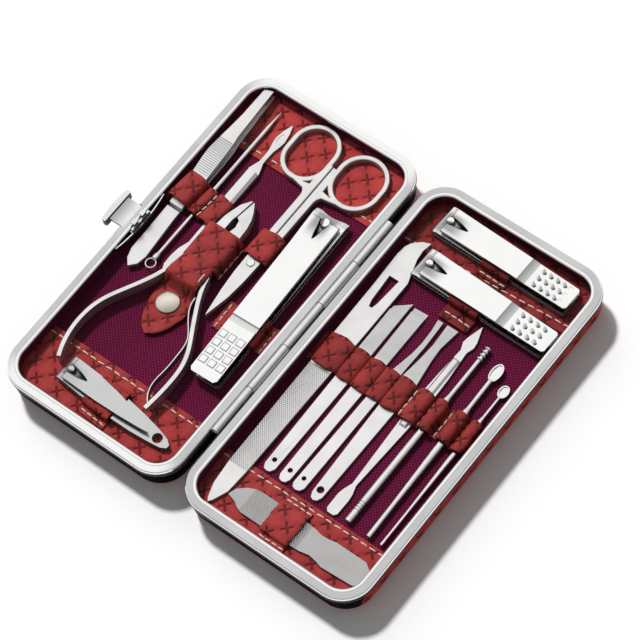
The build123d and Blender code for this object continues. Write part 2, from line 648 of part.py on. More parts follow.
UPPER = [(TWEEZER_WELD_Y + 0.3, 1.1), (28.5, 3.35), (38.0, 4.35), (48.0, 4.55), (60.0, 4.2), (80.0, 2.9)]
plain_arm = tweezer_leaf([(y, z) for y, z in UPPER] + [(y, z + LEAF) for y, z in reversed(UPPER)])
with BuildPart() as tweezers_upper_arm:
    add(plain_arm)
    with BuildSketch(side(-72, 0, SEAT_Z, 90)):
        for k in range(18):
            with Locations((FIT_Y * (30.0 + 0.9 * k), UPPER[2][1] + LEAF + 0.02)):
                Rectangle(0.4, 0.3)
    extrude(amount=3.2, both=True, mode=Mode.SUBTRACT)

# ================================================================ probes in the base
NEEDLE_X = -64.8
NEEDLE_R = 0.95
with BuildPart() as comedone_needle:
    needle_line = side(NEEDLE_X, 0, SEAT_Z + NEEDLE_R, -90)
    with BuildSketch(needle_line):
        lengthwise(
            *turned_bar(
                [(-68.4, 0.05), (-60.0, NEEDLE_R), (-28.0, NEEDLE_R), (-26.0, 0.8), (4.0, 0.8)]
                + [(5.5, 1.3), (7.2, 1.3)]
            )
        )
    revolve(axis=Axis(needle_line.origin, needle_line.x_dir))
    with Locations((HINGE_X + FIT_X * NEEDLE_X, FIT_Y * -9.2, SEAT_Z + NEEDLE_R)):
        Torus(1.95, 0.3)

PUSHER_X = -57.6
with BuildPart() as spear_pusher:
    outline = [(65.8, 0.15), (62.5, 1.3), (58.5, 2.05), (56.5, 1.8), (53.0, 1.0), (50.0, 0.85), (47.0, 0.9)]
    outline += [(43.0, 2.3), (42.0, 2.6), (20.0, 2.6), (16.5, 1.25), (5.5, 1.1), (1.5, 2.6), (-2.5, 3.1)]
    outline += [(-6.5, 3.0), (-8.8, 1.9), (-9.4, 0.8)]
    with BuildSketch(seat(PUSHER_X, 0, SEAT_Z)):
        plan(*[(w, y) for y, w in outline], *[(-w, y) for y, w in reversed(outline)])
    extrude(amount=1.0)
    with BuildSketch(seat(PUSHER_X, 30.9, SEAT_Z)):
        Rectangle(*fitted([(5.2, 22.0)])[0])
    extrude(amount=2.4)
    chamfer(spear_pusher.edges().group_by(Axis.Z)[-1].filter_by(Axis.Y), 1.0)
    with BuildSketch(seat(PUSHER_X, 58.6, SEAT_Z + 0.75)):
        Ellipse(1.2, 2.6)
    extrude(amount=1, mode=Mode.SUBTRACT)


# ================================================================ nail clippers
@dataclass(frozen=True)
class Clipper:
    """Sizes of one nail clipper, lying folded; u runs from the cutting edge to the tail."""

    x: float
    y: float
    z: float
    heading: float
    jaw_plan: tuple
    lever_plan: tuple
    length: float
    leaf_t: float
    rise: float
    edge_z: float
    post_u: float
    post_r: float
    pin_z: float
    eye_r: float
    lever_side: tuple
    edge_dip: float = 0.0
    ring_hole: tuple = ()

    def fit(self):
        """How the clipper follows the case's size: along it and across it."""
        return (FIT_X, FIT_Y) if abs(self.heading) < 45 else (FIT_Y, FIT_X)

    def reach(self, u):
        """Distance u from the cutting edge, past the post in step with the case."""
        past = max(0.0, u - self.post_u)
        return u - past + past * self.fit()[0]

    def outline(self, points):
        """Plan outline in step with the case."""
        across = self.fit()[1]
        return tuple((self.reach(u), across * w) for u, w in points)

    def sized(self):
        """The clipper with its outlines, side profile and length in step with the case."""
        hole = (*self.outline([self.ring_hole[:2]])[0], self.ring_hole[2]) if self.ring_hole else ()
        return replace(
            self,
            jaw_plan=self.outline(self.jaw_plan),
            lever_plan=self.outline(self.lever_plan),
            lever_side=tuple((self.reach(u), z) for u, z in self.lever_side),
            length=self.reach(self.length),
            ring_hole=hole,
        )

    def level(self, lift=0.0):
        """Level plane at the cutting edge, local x toward the tail."""
        return turned(self.x, self.y, self.z + lift, self.heading)

    def upright(self):
        """Side plane, local x toward the tail and local y up."""
        return side(self.x, self.y, self.z, self.heading)


CROSS_PIN_R = 0.5
CROSS_PIN_L = 6.6


def clipper_jaws(c):
    """Two spring leaves joined at the tail, their heads bent together at the cutting edge."""
    t = c.leaf_t
    join = c.length * 0.84
    with BuildPart() as jaws:
        with BuildSketch(c.upright()):
            polygon(
                (0, c.edge_z - 0.05),
                (0.4, c.edge_z - 0.7),
                (2.6, 0),
                (c.length, 0),
                (c.length, 2 * t),
                (join, 2 * t),
                (c.post_u + 4, c.rise),
                (2.6, c.rise),
                (0.4, c.edge_z + 0.75),
                (0, c.edge_z + 0.1),
                (2.9, c.rise - t),
                (c.post_u + 4, c.rise - t),
                (join, t + 0.02),
                (join, t),
                (3.2, t),
            )
        extrude(amount=20, both=True)
        with BuildSketch(c.level()):
            polygon(*c.jaw_plan)
            if c.edge_dip:
                width = c.jaw_plan[0][1] * 2
                with Locations((-width + c.edge_dip, 0)):
                    Circle(width, mode=Mode.SUBTRACT)
        extrude(amount=HALF_H, mode=Mode.INTERSECT)
        with BuildSketch(c.level()):
            with Locations((c.post_u, 0)):
                Circle(c.post_r + PIN_FIT)
            if c.ring_hole:
                u, w, r = c.ring_hole
                with Locations((u, w)):
                    Circle(r)
        extrude(amount=HALF_H, mode=Mode.SUBTRACT)
    return jaws


def clipper_post(c):
    """Post through both leaves, its head crossed by the lever's pin."""
    with BuildPart() as post:
        with BuildSketch(c.level()):
            with Locations((c.post_u, 0)):
                Circle(c.post_r)
        extrude(amount=c.pin_z + 0.75)
        chamfer(post.edges().group_by(Axis.Z)[-1], 0.25)
        with BuildSketch(c.upright()):
            with Locations((c.post_u, c.pin_z)):
                Circle(CROSS_PIN_R)
        extrude(amount=CROSS_PIN_L / 2, both=True)
    return post


def clipper_lever(c, pads):
    """Lever that lies over the leaves: forked at the post, patterned thumb pad at the tail."""
    u = c.post_u
    slot = c.post_r + 0.35
    with BuildPart() as lever:
        with BuildSketch(c.upright()):
            polygon(*c.lever_side)
            with Locations((u, c.pin_z)):
                Circle(c.eye_r)
        extrude(amount=20, both=True)
        with BuildSketch(c.level()):
            polygon(*c.lever_plan)
        extrude(amount=HALF_H, mode=Mode.INTERSECT)
        with BuildSketch(c.level()):
            with Locations((u, 0)):
                Circle(slot)
            polygon((u, slot), (u - 5, slot), (u - 5, -slot), (u, -slot), (u + 8, -0.3), (u + 8, 0.3))
        extrude(amount=HALF_H, mode=Mode.SUBTRACT)
        with BuildSketch(c.upright()):
            with Locations((u, c.pin_z)):
                Circle(CROSS_PIN_R + PIN_FIT)
        extrude(amount=CROSS_PIN_L / 2 + 0.2, both=True, mode=Mode.SUBTRACT)
        for pad_u, pad_w, pad_z, size, cut in pads:
            with BuildSketch(c.level(pad_z)):
                with Locations(*c.outline([(pad_u, pad_w)])):
                    Rectangle(size, size)
            extrude(amount=0.25, mode=Mode.SUBTRACT if cut else Mode.ADD)
    return lever


SMALL_PIN_Z = 4.75
SMALL_EYE_R = 0.85


def small_lever_side(end, step0, step1):
    """Side profile of a lid clipper's lever: flat top, step down to the thumb pad."""
    return (
        (4.4, SMALL_PIN_Z + SMALL_EYE_R),
        (step0, 5.8),
        (step1, 5.4),
        (end, 5.55),
        (end, 4.75),
        (step1, 4.6),
        (8.0, 4.4),
        (4.4, SMALL_PIN_Z - SMALL_EYE_R),
    )


def trapezoid(head, tail, start, end):
    """Plan outline that narrows from head to tail, with clipped corners."""
    h = head / 2
    t = tail / 2
    return ((start, h), (end - 0.8, t), (end, t - 0.8), (end, -t + 0.8), (end - 0.8, -t), (start, -h))


def small_clipper(x, y, length, step0, step1):
    """One of the two like clippers in the lid."""
    return Clipper(
        x=x,
        y=y,
        z=SEAT_Z,
        heading=-1.6,
        jaw_plan=trapezoid(12.4, 10.6, 0.0, length - 0.8),
        lever_plan=trapezoid(10.7, 9.4, 0.0, length),
        length=length - 0.8,
        leaf_t=1.1,
        rise=3.6,
        edge_z=1.85,
        post_u=4.4,
        post_r=1.55,
        pin_z=SMALL_PIN_Z,
        eye_r=SMALL_EYE_R,
        lever_side=small_lever_side(length, step0, step1),
    )


CLIPPER_A = small_clipper(12.9, 65.0, 60.2, 38.6, 42.1).sized()
CLIPPER_B = small_clipper(17.2, 46.7, 59.7, 38.4, 42.0).sized()
PAD_A = [(44.4 + 3.1 * i, -3.1 + 3.1 * j, 5.37, 1.5, True) for i in range(5) for j in range(3)]
PAD_B = [(44.6 + 3.3 * i, -3.1 + 3.1 * j, 5.37, 1.5, True) for i in range(4) for j in range(3)]

LARGE_L = 79.2
LARGE = Clipper(
    x=-20.4,
    y=43.9,
    z=FLAT_SEAT_Z,
    heading=-88.1,
    jaw_plan=(
        (0.0, 7.2),
        (2.0, 7.3),
        (LARGE_L - 1.2, 6.0),
        (LARGE_L, 4.8),
        (LARGE_L, -4.8),
        (LARGE_L - 1.2, -6.0),
        (2.0, -7.3),
        (0.0, -7.2),
    ),
    lever_plan=(
        (2.8, 6.0),
        (LARGE_L - 0.6, 5.9),
        (LARGE_L + 0.6, 4.9),
        (LARGE_L + 0.6, -4.9),
        (LARGE_L - 0.6, -5.9),
        (2.8, -6.0),
    ),
    length=LARGE_L,
    leaf_t=1.25,
    rise=3.9,
    edge_z=2.0,
    post_u=5.2,
    post_r=1.9,
    pin_z=5.1,
    eye_r=0.9,
    edge_dip=1.3,
    lever_side=(
        (5.2, 6.0),
        (LARGE_L - 26.0, 6.0),
        (LARGE_L - 25.4, 5.7),
        (LARGE_L - 23.8, 5.7),
        (LARGE_L - 23.2, 6.0),
        (LARGE_L + 0.6, 5.9),
        (LARGE_L + 0.6, 4.9),
        (LARGE_L - 23.8, 4.9),
        (9.0, 4.7),
        (5.2, 4.2),
    ),
).sized()
PAD_START = LARGE_L - 17.4
PAD_LARGE = [(PAD_START + 4.0 * i, -3.9 + 3.9 * j, 5.9, 2.7, False) for i in range(4) for j in range(3)]

SMALL = Clipper(
    x=-63.0,
    y=-60.1,
    z=SEAT_Z,
    heading=-3.8,
    jaw_plan=(
        (0.0, 5.2),
        (15.0, 5.4),
        (28.0, 4.8),
        (36.0, 4.2),
        (44.0, 3.2),
        (49.5, 2.0),
        (51.6, 0.6),
        (51.6, -0.8),
        (49.5, -2.1),
        (44.0, -3.1),
        (36.0, -4.2),
        (28.0, -4.8),
        (15.0, -5.2),
        (0.0, -5.0),
    ),
    lever_plan=(
        (1.8, 4.4),
        (13.5, 4.7),
        (23.5, 3.9),
        (33.0, 2.5),
        (39.5, 0.8),
        (43.2, -0.9),
        (40.0, -1.6),
        (30.0, -2.9),
        (20.0, -3.8),
        (1.8, -4.5),
    ),
    length=51.6,
    leaf_t=1.1,
    rise=3.2,
    edge_z=1.7,
    post_u=3.9,
    post_r=1.4,
    pin_z=4.35,
    eye_r=0.8,
    lever_side=((3.9, 5.15), (28.0, 5.2), (43.5, 4.7), (43.5, 4.1), (28.0, 4.4), (8.0, 4.1), (3.9, 3.55)),
    ring_hole=(46.3, 0.1, 2.0),
).sized()

clipper_a_jaws = clipper_jaws(CLIPPER_A)
clipper_a_post = clipper_post(CLIPPER_A)
clipper_a_lever = clipper_lever(CLIPPER_A, PAD_A)
clipper_b_jaws = clipper_jaws(CLIPPER_B)
clipper_b_post = clipper_post(CLIPPER_B)
clipper_b_lever = clipper_lever(CLIPPER_B, PAD_B)
large_clipper_jaws = clipper_jaws(LARGE)
large_clipper_post = clipper_post(LARGE)
large_clipper_lever = clipper_lever(LARGE, PAD_LARGE)
small_clipper_jaws = clipper_jaws(SMALL)
small_clipper_post = clipper_post(SMALL)
small_clipper_lever = clipper_lever(SMALL, [])


def clipper_strap(c, at_u, width, reach, half_in, height, z=LINING_Z):
    """Leather loop that passes over the leaves and under the lever."""
    a = radians(c.heading)
    x = c.x + at_u * cos(a)
    y = c.y + at_u * sin(a)
    plane = side(x, y, z, c.heading + 90)
    fit_u, fit_w = c.fit()
    return make_strap(plane, width, reach, [(-half_in, half_in, height)], LOOP_T, (fit_w, fit_u))


large_clipper_strap = clipper_strap(LARGE, LARGE_L - 25.2, 12.2, (-12.0, 11.0), 6.9, 3.3)
small_clipper_loop = clipper_strap(SMALL, 21.0, 12.8, (-9.6, 7.6), 5.9, 3.25, BAND_Z)
clipper_a_loop = clipper_strap(CLIPPER_A, 29.3, 12.8, (-9.4, 7.4), 6.3, 3.35, BAND_Z)
plain_b_loop = clipper_strap(CLIPPER_B, 24.6, 12.8, (-11.6, 7.1), 6.4, 3.6, BAND_Z)
with BuildPart() as clipper_b_loop:
    add(plain_b_loop)
    with BuildSketch(seat(41.0, 36.4)):
        Rectangle(*fitted([(12.8, 6.0)])[0])
    extrude(amount=BAND_T)

# ================================================================ flat tools in the lid
BLADE_SHIFT = (-1.0, 0.8)
KNIFE_T = 1.1


def blank(outline, hole=(), hole_r=0.9, thick=KNIFE_T, z=FLAT_SEAT_Z):
    """Flat blade from its outline, with a hanging hole near the end."""
    with BuildPart() as flat:
        with BuildSketch(seat(*BLADE_SHIFT, z)):
            plan(*outline)
            if hole:
                with Locations(*fitted([hole])):
                    Circle(hole_r, mode=Mode.SUBTRACT)
        extrude(amount=thick)
    return flat


slant_blank = blank(
    [(20.2, 26.5), (26.0, 31.2), (26.2, 5.0), (25.8, -48.8), (24.8, -50.6), (23.4, -51.0)]
    + [(22.0, -50.6), (21.1, -48.8), (20.3, 5.0)],
    (23.3, -46.0),
)
with BuildPart() as slant_knife:
    add(slant_blank)
    with BuildSketch(turned(20.2 + BLADE_SHIFT[0], 26.5 + BLADE_SHIFT[1], FLAT_SEAT_Z + 0.55, 39.0)):
        Rectangle(20, 2.2)
    extrude(amount=1, mode=Mode.SUBTRACT)

chisel_blank = blank(
    [(27.2, 30.3), (33.2, 30.6), (33.1, 5.0), (32.7, -49.0), (31.8, -50.8), (30.4, -51.2)]
    + [(29.1, -50.8), (28.2, -49.0), (27.6, 5.0)],
    (30.4, -46.1),
)
with BuildPart() as chisel_knife:
    add(chisel_blank)
    with BuildSketch(seat(30.2 + BLADE_SHIFT[0], 30.4 + BLADE_SHIFT[1], FLAT_SEAT_Z + 0.55)):
        Rectangle(20, 4.0)
    extrude(amount=1, mode=Mode.SUBTRACT)

serrated_blank = blank(
    [(37.3, 31.0), (39.6, 31.0), (40.0, 20.0), (39.7, 5.0), (39.2, -8.0), (38.9, -49.0)]
    + [(37.9, -50.5), (36.4, -50.9), (35.0, -50.5), (34.2, -49.0), (34.9, -8.0), (35.8, 5.0)]
    + [(36.8, 10.0), (37.8, 15.0), (38.2, 20.0), (38.0, 26.0)],
    (36.4, -45.8),
)
with BuildPart() as serrated_knife:
    add(serrated_blank)
    with BuildSketch(seat(BLADE_SHIFT[0] + 39.15, BLADE_SHIFT[1], FLAT_SEAT_Z)):
        for k in range(16):
            with Locations(*fitted([(0.1, -9.0 - 1.35 * k)])):
                RegularPolygon(0.45, 3)
        for k in range(5):
            with Locations(*fitted([(0.8, 5.6 + 1.35 * k)])):
                RegularPolygon(0.45, 3)
    extrude(amount=KNIFE_T, mode=Mode.SUBTRACT)

flat_pusher = blank(
    [(41.4, 31.2), (46.2, 31.2), (45.0, 22.0), (45.4, 16.0), (46.9, 5.0), (46.9, -7.0)]
    + [(46.3, -48.0), (45.4, -50.0), (44.0, -50.5), (42.7, -50.0), (41.8, -48.0), (40.4, -7.0)]
    + [(40.2, 5.0), (41.5, 16.0), (41.9, 22.0)],
    (43.9, -45.9),
    1.35,
)

spear_blank = blank(
    [(52.2, 37.8), (54.4, 31.5), (54.7, 29.0), (53.7, 26.0), (54.7, 14.0), (55.0, 5.0), (54.8, -8.0)]
    + [(53.2, -37.5), (54.3, -41.0), (54.6, -43.5), (54.5, -49.8), (53.6, -51.0), (50.9, -51.0)]
    + [(49.9, -49.8), (49.8, -43.5), (50.3, -41.0), (51.6, -37.5), (50.2, -8.0), (50.0, 5.0)]
    + [(50.4, 14.0), (51.2, 26.0), (50.0, 29.0), (50.4, 31.5)],
    thick=1.0,
)
with BuildPart() as spear_spatula:
    add(spear_blank)
    with BuildSketch(seat(52.45 + BLADE_SHIFT[0], 6.0 + BLADE_SHIFT[1], FLAT_SEAT_Z)):
        Rectangle(*fitted([(3.0, 32.0)])[0])
    extrude(amount=1.9)
    chamfer(spear_spatula.edges().group_by(Axis.Z)[-1], 0.6)


def probe(x0, x1, stations, spoon=()):
    """Round tool that leans from x0 at the head to x1 at the foot; stations are (y, radius)."""
    top = stations[0][0]
    foot = stations[-1][0]
    lean = 90 - degrees(atan2(x0 - x1, top - foot))
    biggest = max(r for _, r in stations)
    a = radians(lean)
    line = side(x1 + BLADE_SHIFT[0], foot + BLADE_SHIFT[1], FLAT_SEAT_Z + biggest, lean)
    with BuildPart() as tool:
        with BuildSketch(line):
            lengthwise(*turned_bar([(y - foot, r) for y, r in reversed(stations)]))
        revolve(axis=Axis(line.origin, line.x_dir))
        if spoon:
            at, length, width = spoon
            d = at - foot
            sx = x1 + BLADE_SHIFT[0] + d * cos(a)
            sy = foot + BLADE_SHIFT[1] + d * sin(a)
            half_l, half_w = FIT_Y * length / 2, FIT_X * width / 2
            with BuildSketch(turned(sx, sy, FLAT_SEAT_Z + biggest - 0.5, lean)):
                Ellipse(half_l, half_w)
            extrude(amount=1.0)
            with BuildSketch(turned(sx, sy, FLAT_SEAT_Z + biggest - 0.1, lean)):
                Ellipse(half_l - 0.5, half_w - 0.5)
            extrude(amount=1.0, mode=Mode.SUBTRACT)
    return tool


rings = []
for y in (31.2, 29.6, 28.0, 26.4):
    rings += [(y + 0.4, 0.9), (y + 0.2, 1.5), (y - 0.2, 1.5), (y - 0.4, 0.9)]
grooves = []
for y in (-41.5, -42.7, -43.9, -45.1):
    grooves += [(y + 0.3, 1.4), (y, 1.15), (y - 0.3, 1.4)]
ring_pick = probe(
    59.35,
    59.45,
    [(31.8, 0.9)] + rings + [(9.0, 0.9), (6.5, 1.35), (-8.0, 1.4)] + grooves + [(-50.2, 1.4)],
)
large_spoon = probe(
    67.5,
    68.9,
    [(24.0, 0.7), (21.0, 0.95), (9.0, 0.95), (6.5, 1.5), (-8.0, 1.5), (-36.0, 0.95), (-50.7, 1.05)],
    (25.4, 7.8, 4.3),
)
small_spoon = probe(
    74.05,
    74.4,
    [(19.5, 0.6), (9.0, 0.7), (6.5, 1.2), (-8.0, 1.2), (-34.0, 0.65), (-50.6, 0.7)],
    (20.9, 5.4, 3.9),
)

FILE_SHIFT = (-0.6, 0.5)
FILE_T = 1.2
with BuildPart() as nail_file_trimmer:
    with BuildSketch(seat(*FILE_SHIFT, SEAT_Z)):
        plan(
            (16.4, 54.5),
            (13.0, 53.2),
            (10.0, 50.5),
            (8.8, 48.0),
            (8.4, 44.0),
            (8.9, 30.0),
            (9.1, 5.0),
            (9.3, -8.0),
            (9.9, -55.0),
            (10.8, -65.0),
            (12.6, -70.6),
            (13.7, -72.2),
            (14.8, -70.8),
            (17.3, -65.0),
            (17.9, -55.0),
            (18.5, -8.0),
            (19.0, 5.0),
            (19.2, 36.5),
            (16.0, 46.4),
            (15.6, 50.5),
        )
    extrude(amount=FILE_T)
    with BuildSketch(seat(*FILE_SHIFT, SEAT_Z)):
        plan((11.7, 35.5), (15.9, 35.5), (15.0, 24.0), (14.4, 21.4), (13.1, 21.4), (12.4, 24.0))
    extrude(amount=FILE_T, mode=Mode.SUBTRACT)

PLATE_FILE_T = 0.9
with BuildPart() as plate_file:
    with BuildSketch(seat(-0.8, 0.6, SEAT_Z)):
        plan(
            (17.9, -65.7),
            (19.0, -62.5),
            (22.0, -60.0),
            (25.0, -58.6),
            (28.0, -58.2),
            (48.0, -58.3),
            (52.0, -58.6),
            (55.0, -59.2),
            (58.0, -59.0),
            (61.0, -58.4),
            (74.0, -58.4),
            (77.4, -60.6),
            (78.2, -63.5),
            (77.6, -66.5),
            (75.5, -68.3),
            (62.0, -69.0),
            (59.0, -68.2),
            (56.0, -67.8),
            (52.0, -68.6),
            (48.0, -68.8),
            (25.8, -68.8),
            (23.5, -67.9),
            (21.5, -66.6),
        )
    extrude(amount=PLATE_FILE_T)

plate_file_strap = make_strap(
    side(40.8, -62.7, BAND_Z, 90),
    12.4,
    (-9.6, 8.6),
    [(-6.2, 6.2, PLATE_FILE_T + 0.35)],
    fit=(FIT_Y, FIT_X),
)

SLIM = KNIFE_T + 0.45
lid_tool_strap = make_strap(
    side(-0.6, -0.2),
    13.0,
    (6.4, 77.6),
    [
        (8.8, 19.4, TOOL_LIFT + FILE_T + 0.35),
        (19.7, 26.0, SLIM),
        (26.9, 32.9, SLIM),
        (33.8, 39.5, SLIM),
        (39.6, 46.7, SLIM + 0.3),
        (49.2, 55.0, 2.3),
        (57.3, 61.4, 3.4),
        (65.5, 69.9, 3.6),
        (72.1, 76.1, 3.0),
    ],
)

# ================================================================ write every piece
PIECES = {
    "base_shell": base_shell,
    "base_rim": base_rim,
    "base_lining": base_lining,
    "base_head_band": base_head_band,
    "base_foot_band": base_foot_band,
    "base_hinge_leaf": base_hinge_leaf,
    "hinge_pin": hinge_pin,
    "base_tool_strap": base_tool_strap,
    "scissors_strap": scissors_strap,
    "large_clipper_strap": large_clipper_strap,
    "small_clipper_loop": small_clipper_loop,
    "nipper_strap_loop": nipper_strap_loop,
    "nipper_strap_flap": nipper_strap_flap,
    "snap_cap": snap_cap,
    "latch_button": latch_button,
    "latch_spring": latch_spring,
    "tweezers_lower_arm": tweezers_lower_arm,
    "tweezers_upper_arm": tweezers_upper_arm,
    "comedone_needle": comedone_needle,
    "spear_pusher": spear_pusher,
    "scissors_blade_fixed": scissors_blade_fixed,
    "scissors_blade_moving": scissors_blade_moving,
    "scissors_screw": scissors_screw,
    "nipper_half_left": nipper_half_left,
    "nipper_half_right": nipper_half_right,
    "nipper_pivot": nipper_pivot,
    "nipper_spring": nipper_spring,
    "large_clipper_jaws": large_clipper_jaws,
    "large_clipper_post": large_clipper_post,
    "large_clipper_lever": large_clipper_lever,
    "small_clipper_jaws": small_clipper_jaws,
    "small_clipper_post": small_clipper_post,
    "small_clipper_lever": small_clipper_lever,
    "lid_shell": lid_shell,
    "lid_rim": lid_rim,
    "lid_lining": lid_lining,
    "lid_head_band": lid_head_band,
    "lid_foot_band": lid_foot_band,
    "lid_hinge_leaf": lid_hinge_leaf,
    "lid_tool_strap": lid_tool_strap,
    "plate_file_strap": plate_file_strap,
    "clipper_a_loop": clipper_a_loop,
    "clipper_b_loop": clipper_b_loop,
    "nail_file_trimmer": nail_file_trimmer,
    "slant_knife": slant_knife,
    "chisel_knife": chisel_knife,
    "serrated_knife": serrated_knife,
    "flat_pusher": flat_pusher,
    "spear_spatula": spear_spatula,
    "ring_pick": ring_pick,
    "large_spoon": large_spoon,
    "small_spoon": small_spoon,
    "plate_file": plate_file,
    "clipper_a_jaws": clipper_a_jaws,
    "clipper_a_post": clipper_a_post,
    "clipper_a_lever": clipper_a_lever,
    "clipper_b_jaws": clipper_b_jaws,
    "clipper_b_post": clipper_b_post,
    "clipper_b_lever": clipper_b_lever,
}

os.makedirs("parts", exist_ok=True)
for name, piece in PIECES.items():
    piece.part.label = name
    export_step(piece.part, f"parts/{name}.step")
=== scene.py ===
"""Two-half manicure case lying open: leather, cloth, stitching, satin and polished steel.

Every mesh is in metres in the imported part's own frame. Sizes in this file are in
millimetres and are turned into metres where a mesh is made. Places on the case are
measured from the hinge line and from the middle of its length.
"""

import json
import logging
import math
import random
from collections.abc import Callable, Iterable, Iterator
from dataclasses import dataclass, field
from enum import Enum

import bmesh
import bpy
from mathutils import Matrix, Vector, noise

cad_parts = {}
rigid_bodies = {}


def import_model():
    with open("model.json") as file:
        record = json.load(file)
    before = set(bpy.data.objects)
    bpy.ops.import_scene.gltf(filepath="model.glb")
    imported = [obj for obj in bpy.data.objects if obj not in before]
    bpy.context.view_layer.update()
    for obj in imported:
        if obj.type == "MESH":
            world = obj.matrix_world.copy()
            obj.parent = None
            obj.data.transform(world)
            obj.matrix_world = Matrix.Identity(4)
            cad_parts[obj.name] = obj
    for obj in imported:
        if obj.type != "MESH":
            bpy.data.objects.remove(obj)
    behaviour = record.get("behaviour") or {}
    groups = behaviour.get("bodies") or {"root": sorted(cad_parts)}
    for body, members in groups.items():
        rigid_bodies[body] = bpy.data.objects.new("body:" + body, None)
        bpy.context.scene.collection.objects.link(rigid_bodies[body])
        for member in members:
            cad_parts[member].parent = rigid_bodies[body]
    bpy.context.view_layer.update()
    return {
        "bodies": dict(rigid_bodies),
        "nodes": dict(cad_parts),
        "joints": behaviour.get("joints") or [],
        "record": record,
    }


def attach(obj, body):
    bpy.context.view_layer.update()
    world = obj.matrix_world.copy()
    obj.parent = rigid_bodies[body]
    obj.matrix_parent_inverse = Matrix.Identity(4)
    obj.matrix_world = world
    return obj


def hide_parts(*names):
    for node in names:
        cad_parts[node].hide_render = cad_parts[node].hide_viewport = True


LOG = logging.getLogger("manicure_case")
Colour = tuple[float, float, float]
Pair = tuple[float, float]
Triple = tuple[float, float, float]

MM = 0.001
# The hinge line, the top of the cloth and the top of the leather bands, in mm.
HINGE_X = 41.85
LINING_Z = 7.0
BAND_Z = 7.6
# The press stud's middle, from the hinge line.
STUD = (-49.0, -18.3)

BASE = "base_half"
LID = "lid_half"
FLAP = "strap_flap"
LEATHER_SLOT = "red_leather"
CAP_SLOT = "champagne_cap"


def srgb(red: int, green: int, blue: int) -> Colour:
    """Turn a colour as it is seen on a screen into the shader's linear colour.

    Args:
        red: Red, 0 to 255.
        green: Green, 0 to 255.
        blue: Blue, 0 to 255.

    Returns:
        The linear colour.
    """

    def line(c: int) -> float:
        """One channel."""
        v = c / 255
        return v / 12.92 if v <= 0.04045 else ((v + 0.055) / 1.055) ** 2.4

    return (line(red), line(green), line(blue))


def shade(colour: Colour, share: float, lift: float = 0.0) -> Colour:
    """A darker or lighter kind of a colour, with no channel above 1."""
    return tuple(min(1, c * share + lift) for c in colour)


def grey(level: float) -> Colour:
    """A grey of one level."""
    return (level, level, level)


def within(value: float) -> float:
    """The value, held between 0 and 1."""
    return min(1.0, max(0.0, value))


def eased(value: float) -> float:
    """A smooth step from 0 at 0 to 1 at 1."""
    t = within(value)
    return t * t * (3 - 2 * t)


def turn(count: int) -> list[Pair]:
    """Cosine and sine of evenly spaced angles round a full turn."""
    angles = [2 * math.pi * k / count for k in range(count)]
    return [(math.cos(w), math.sin(w)) for w in angles]


# ------------------------------------------------------------------ shader sums
def maths_method(operation: str, flipped: bool = False) -> Callable[..., "Sock"]:
    """Make an operator that adds one maths node.

    Args:
        operation: The node's operation.
        flipped: Whether the other value stands on the left.

    Returns:
        The method; its other value is left out where the operation takes one value.
    """

    def method(self: "Sock", other: "Operand" = 0.0) -> "Sock":
        """Add the node."""
        pair = (other, self) if flipped else (self, other)
        return self.graph.sum_of(operation, *pair)

    return method


class Sock:
    """A shader value; operators on it add maths nodes to its material."""

    __add__ = maths_method("ADD")
    __radd__ = maths_method("ADD", flipped=True)
    __sub__ = maths_method("SUBTRACT")
    __rsub__ = maths_method("SUBTRACT", flipped=True)
    __mul__ = maths_method("MULTIPLY")
    __rmul__ = maths_method("MULTIPLY", flipped=True)
    __truediv__ = maths_method("DIVIDE")
    __abs__ = maths_method("ABSOLUTE")
    least = maths_method("MINIMUM")
    most = maths_method("MAXIMUM")
    part = maths_method("FRACT")
    sine = maths_method("SINE")

    def __init__(self, graph: "Graph", socket: bpy.types.NodeSocket) -> None:
        """Hold one output socket.

        Args:
            graph: The material's node graph.
            socket: The output socket.
        """
        self.graph = graph
        self.socket = socket

    @property
    def is_vector(self) -> bool:
        """Whether the value is a vector or a colour."""
        return self.socket.type in {"VECTOR", "RGBA"}

    def clear(self, low: float, high: float) -> "Sock":
        """Rise smoothly from 0 at low to 1 at high; low may be above high.

        Args:
            low: The value that gives 0.
            high: The value that gives 1.

        Returns:
            The value, 0 to 1.
        """
        flip = low > high
        a, b = (high, low) if flip else (low, high)
        out = self.graph.node(
            "ShaderNodeMapRange",
            {"interpolation_type": "SMOOTHSTEP"},
            {"Value": self, "From Min": a, "From Max": b},
            "Result",
        )
        return 1 - out if flip else out

    def between(self, low: float, high: float, soft: float) -> "Sock":
        """Mask of a stretch.

        Args:
            low: Where it starts.
            high: Where it ends.
            soft: How far each end takes to fade.

        Returns:
            1 inside, 0 outside.
        """
        return self.clear(low, low + soft) * self.clear(high + soft, high)


Operand = Sock | float | int | tuple[float, float, float]


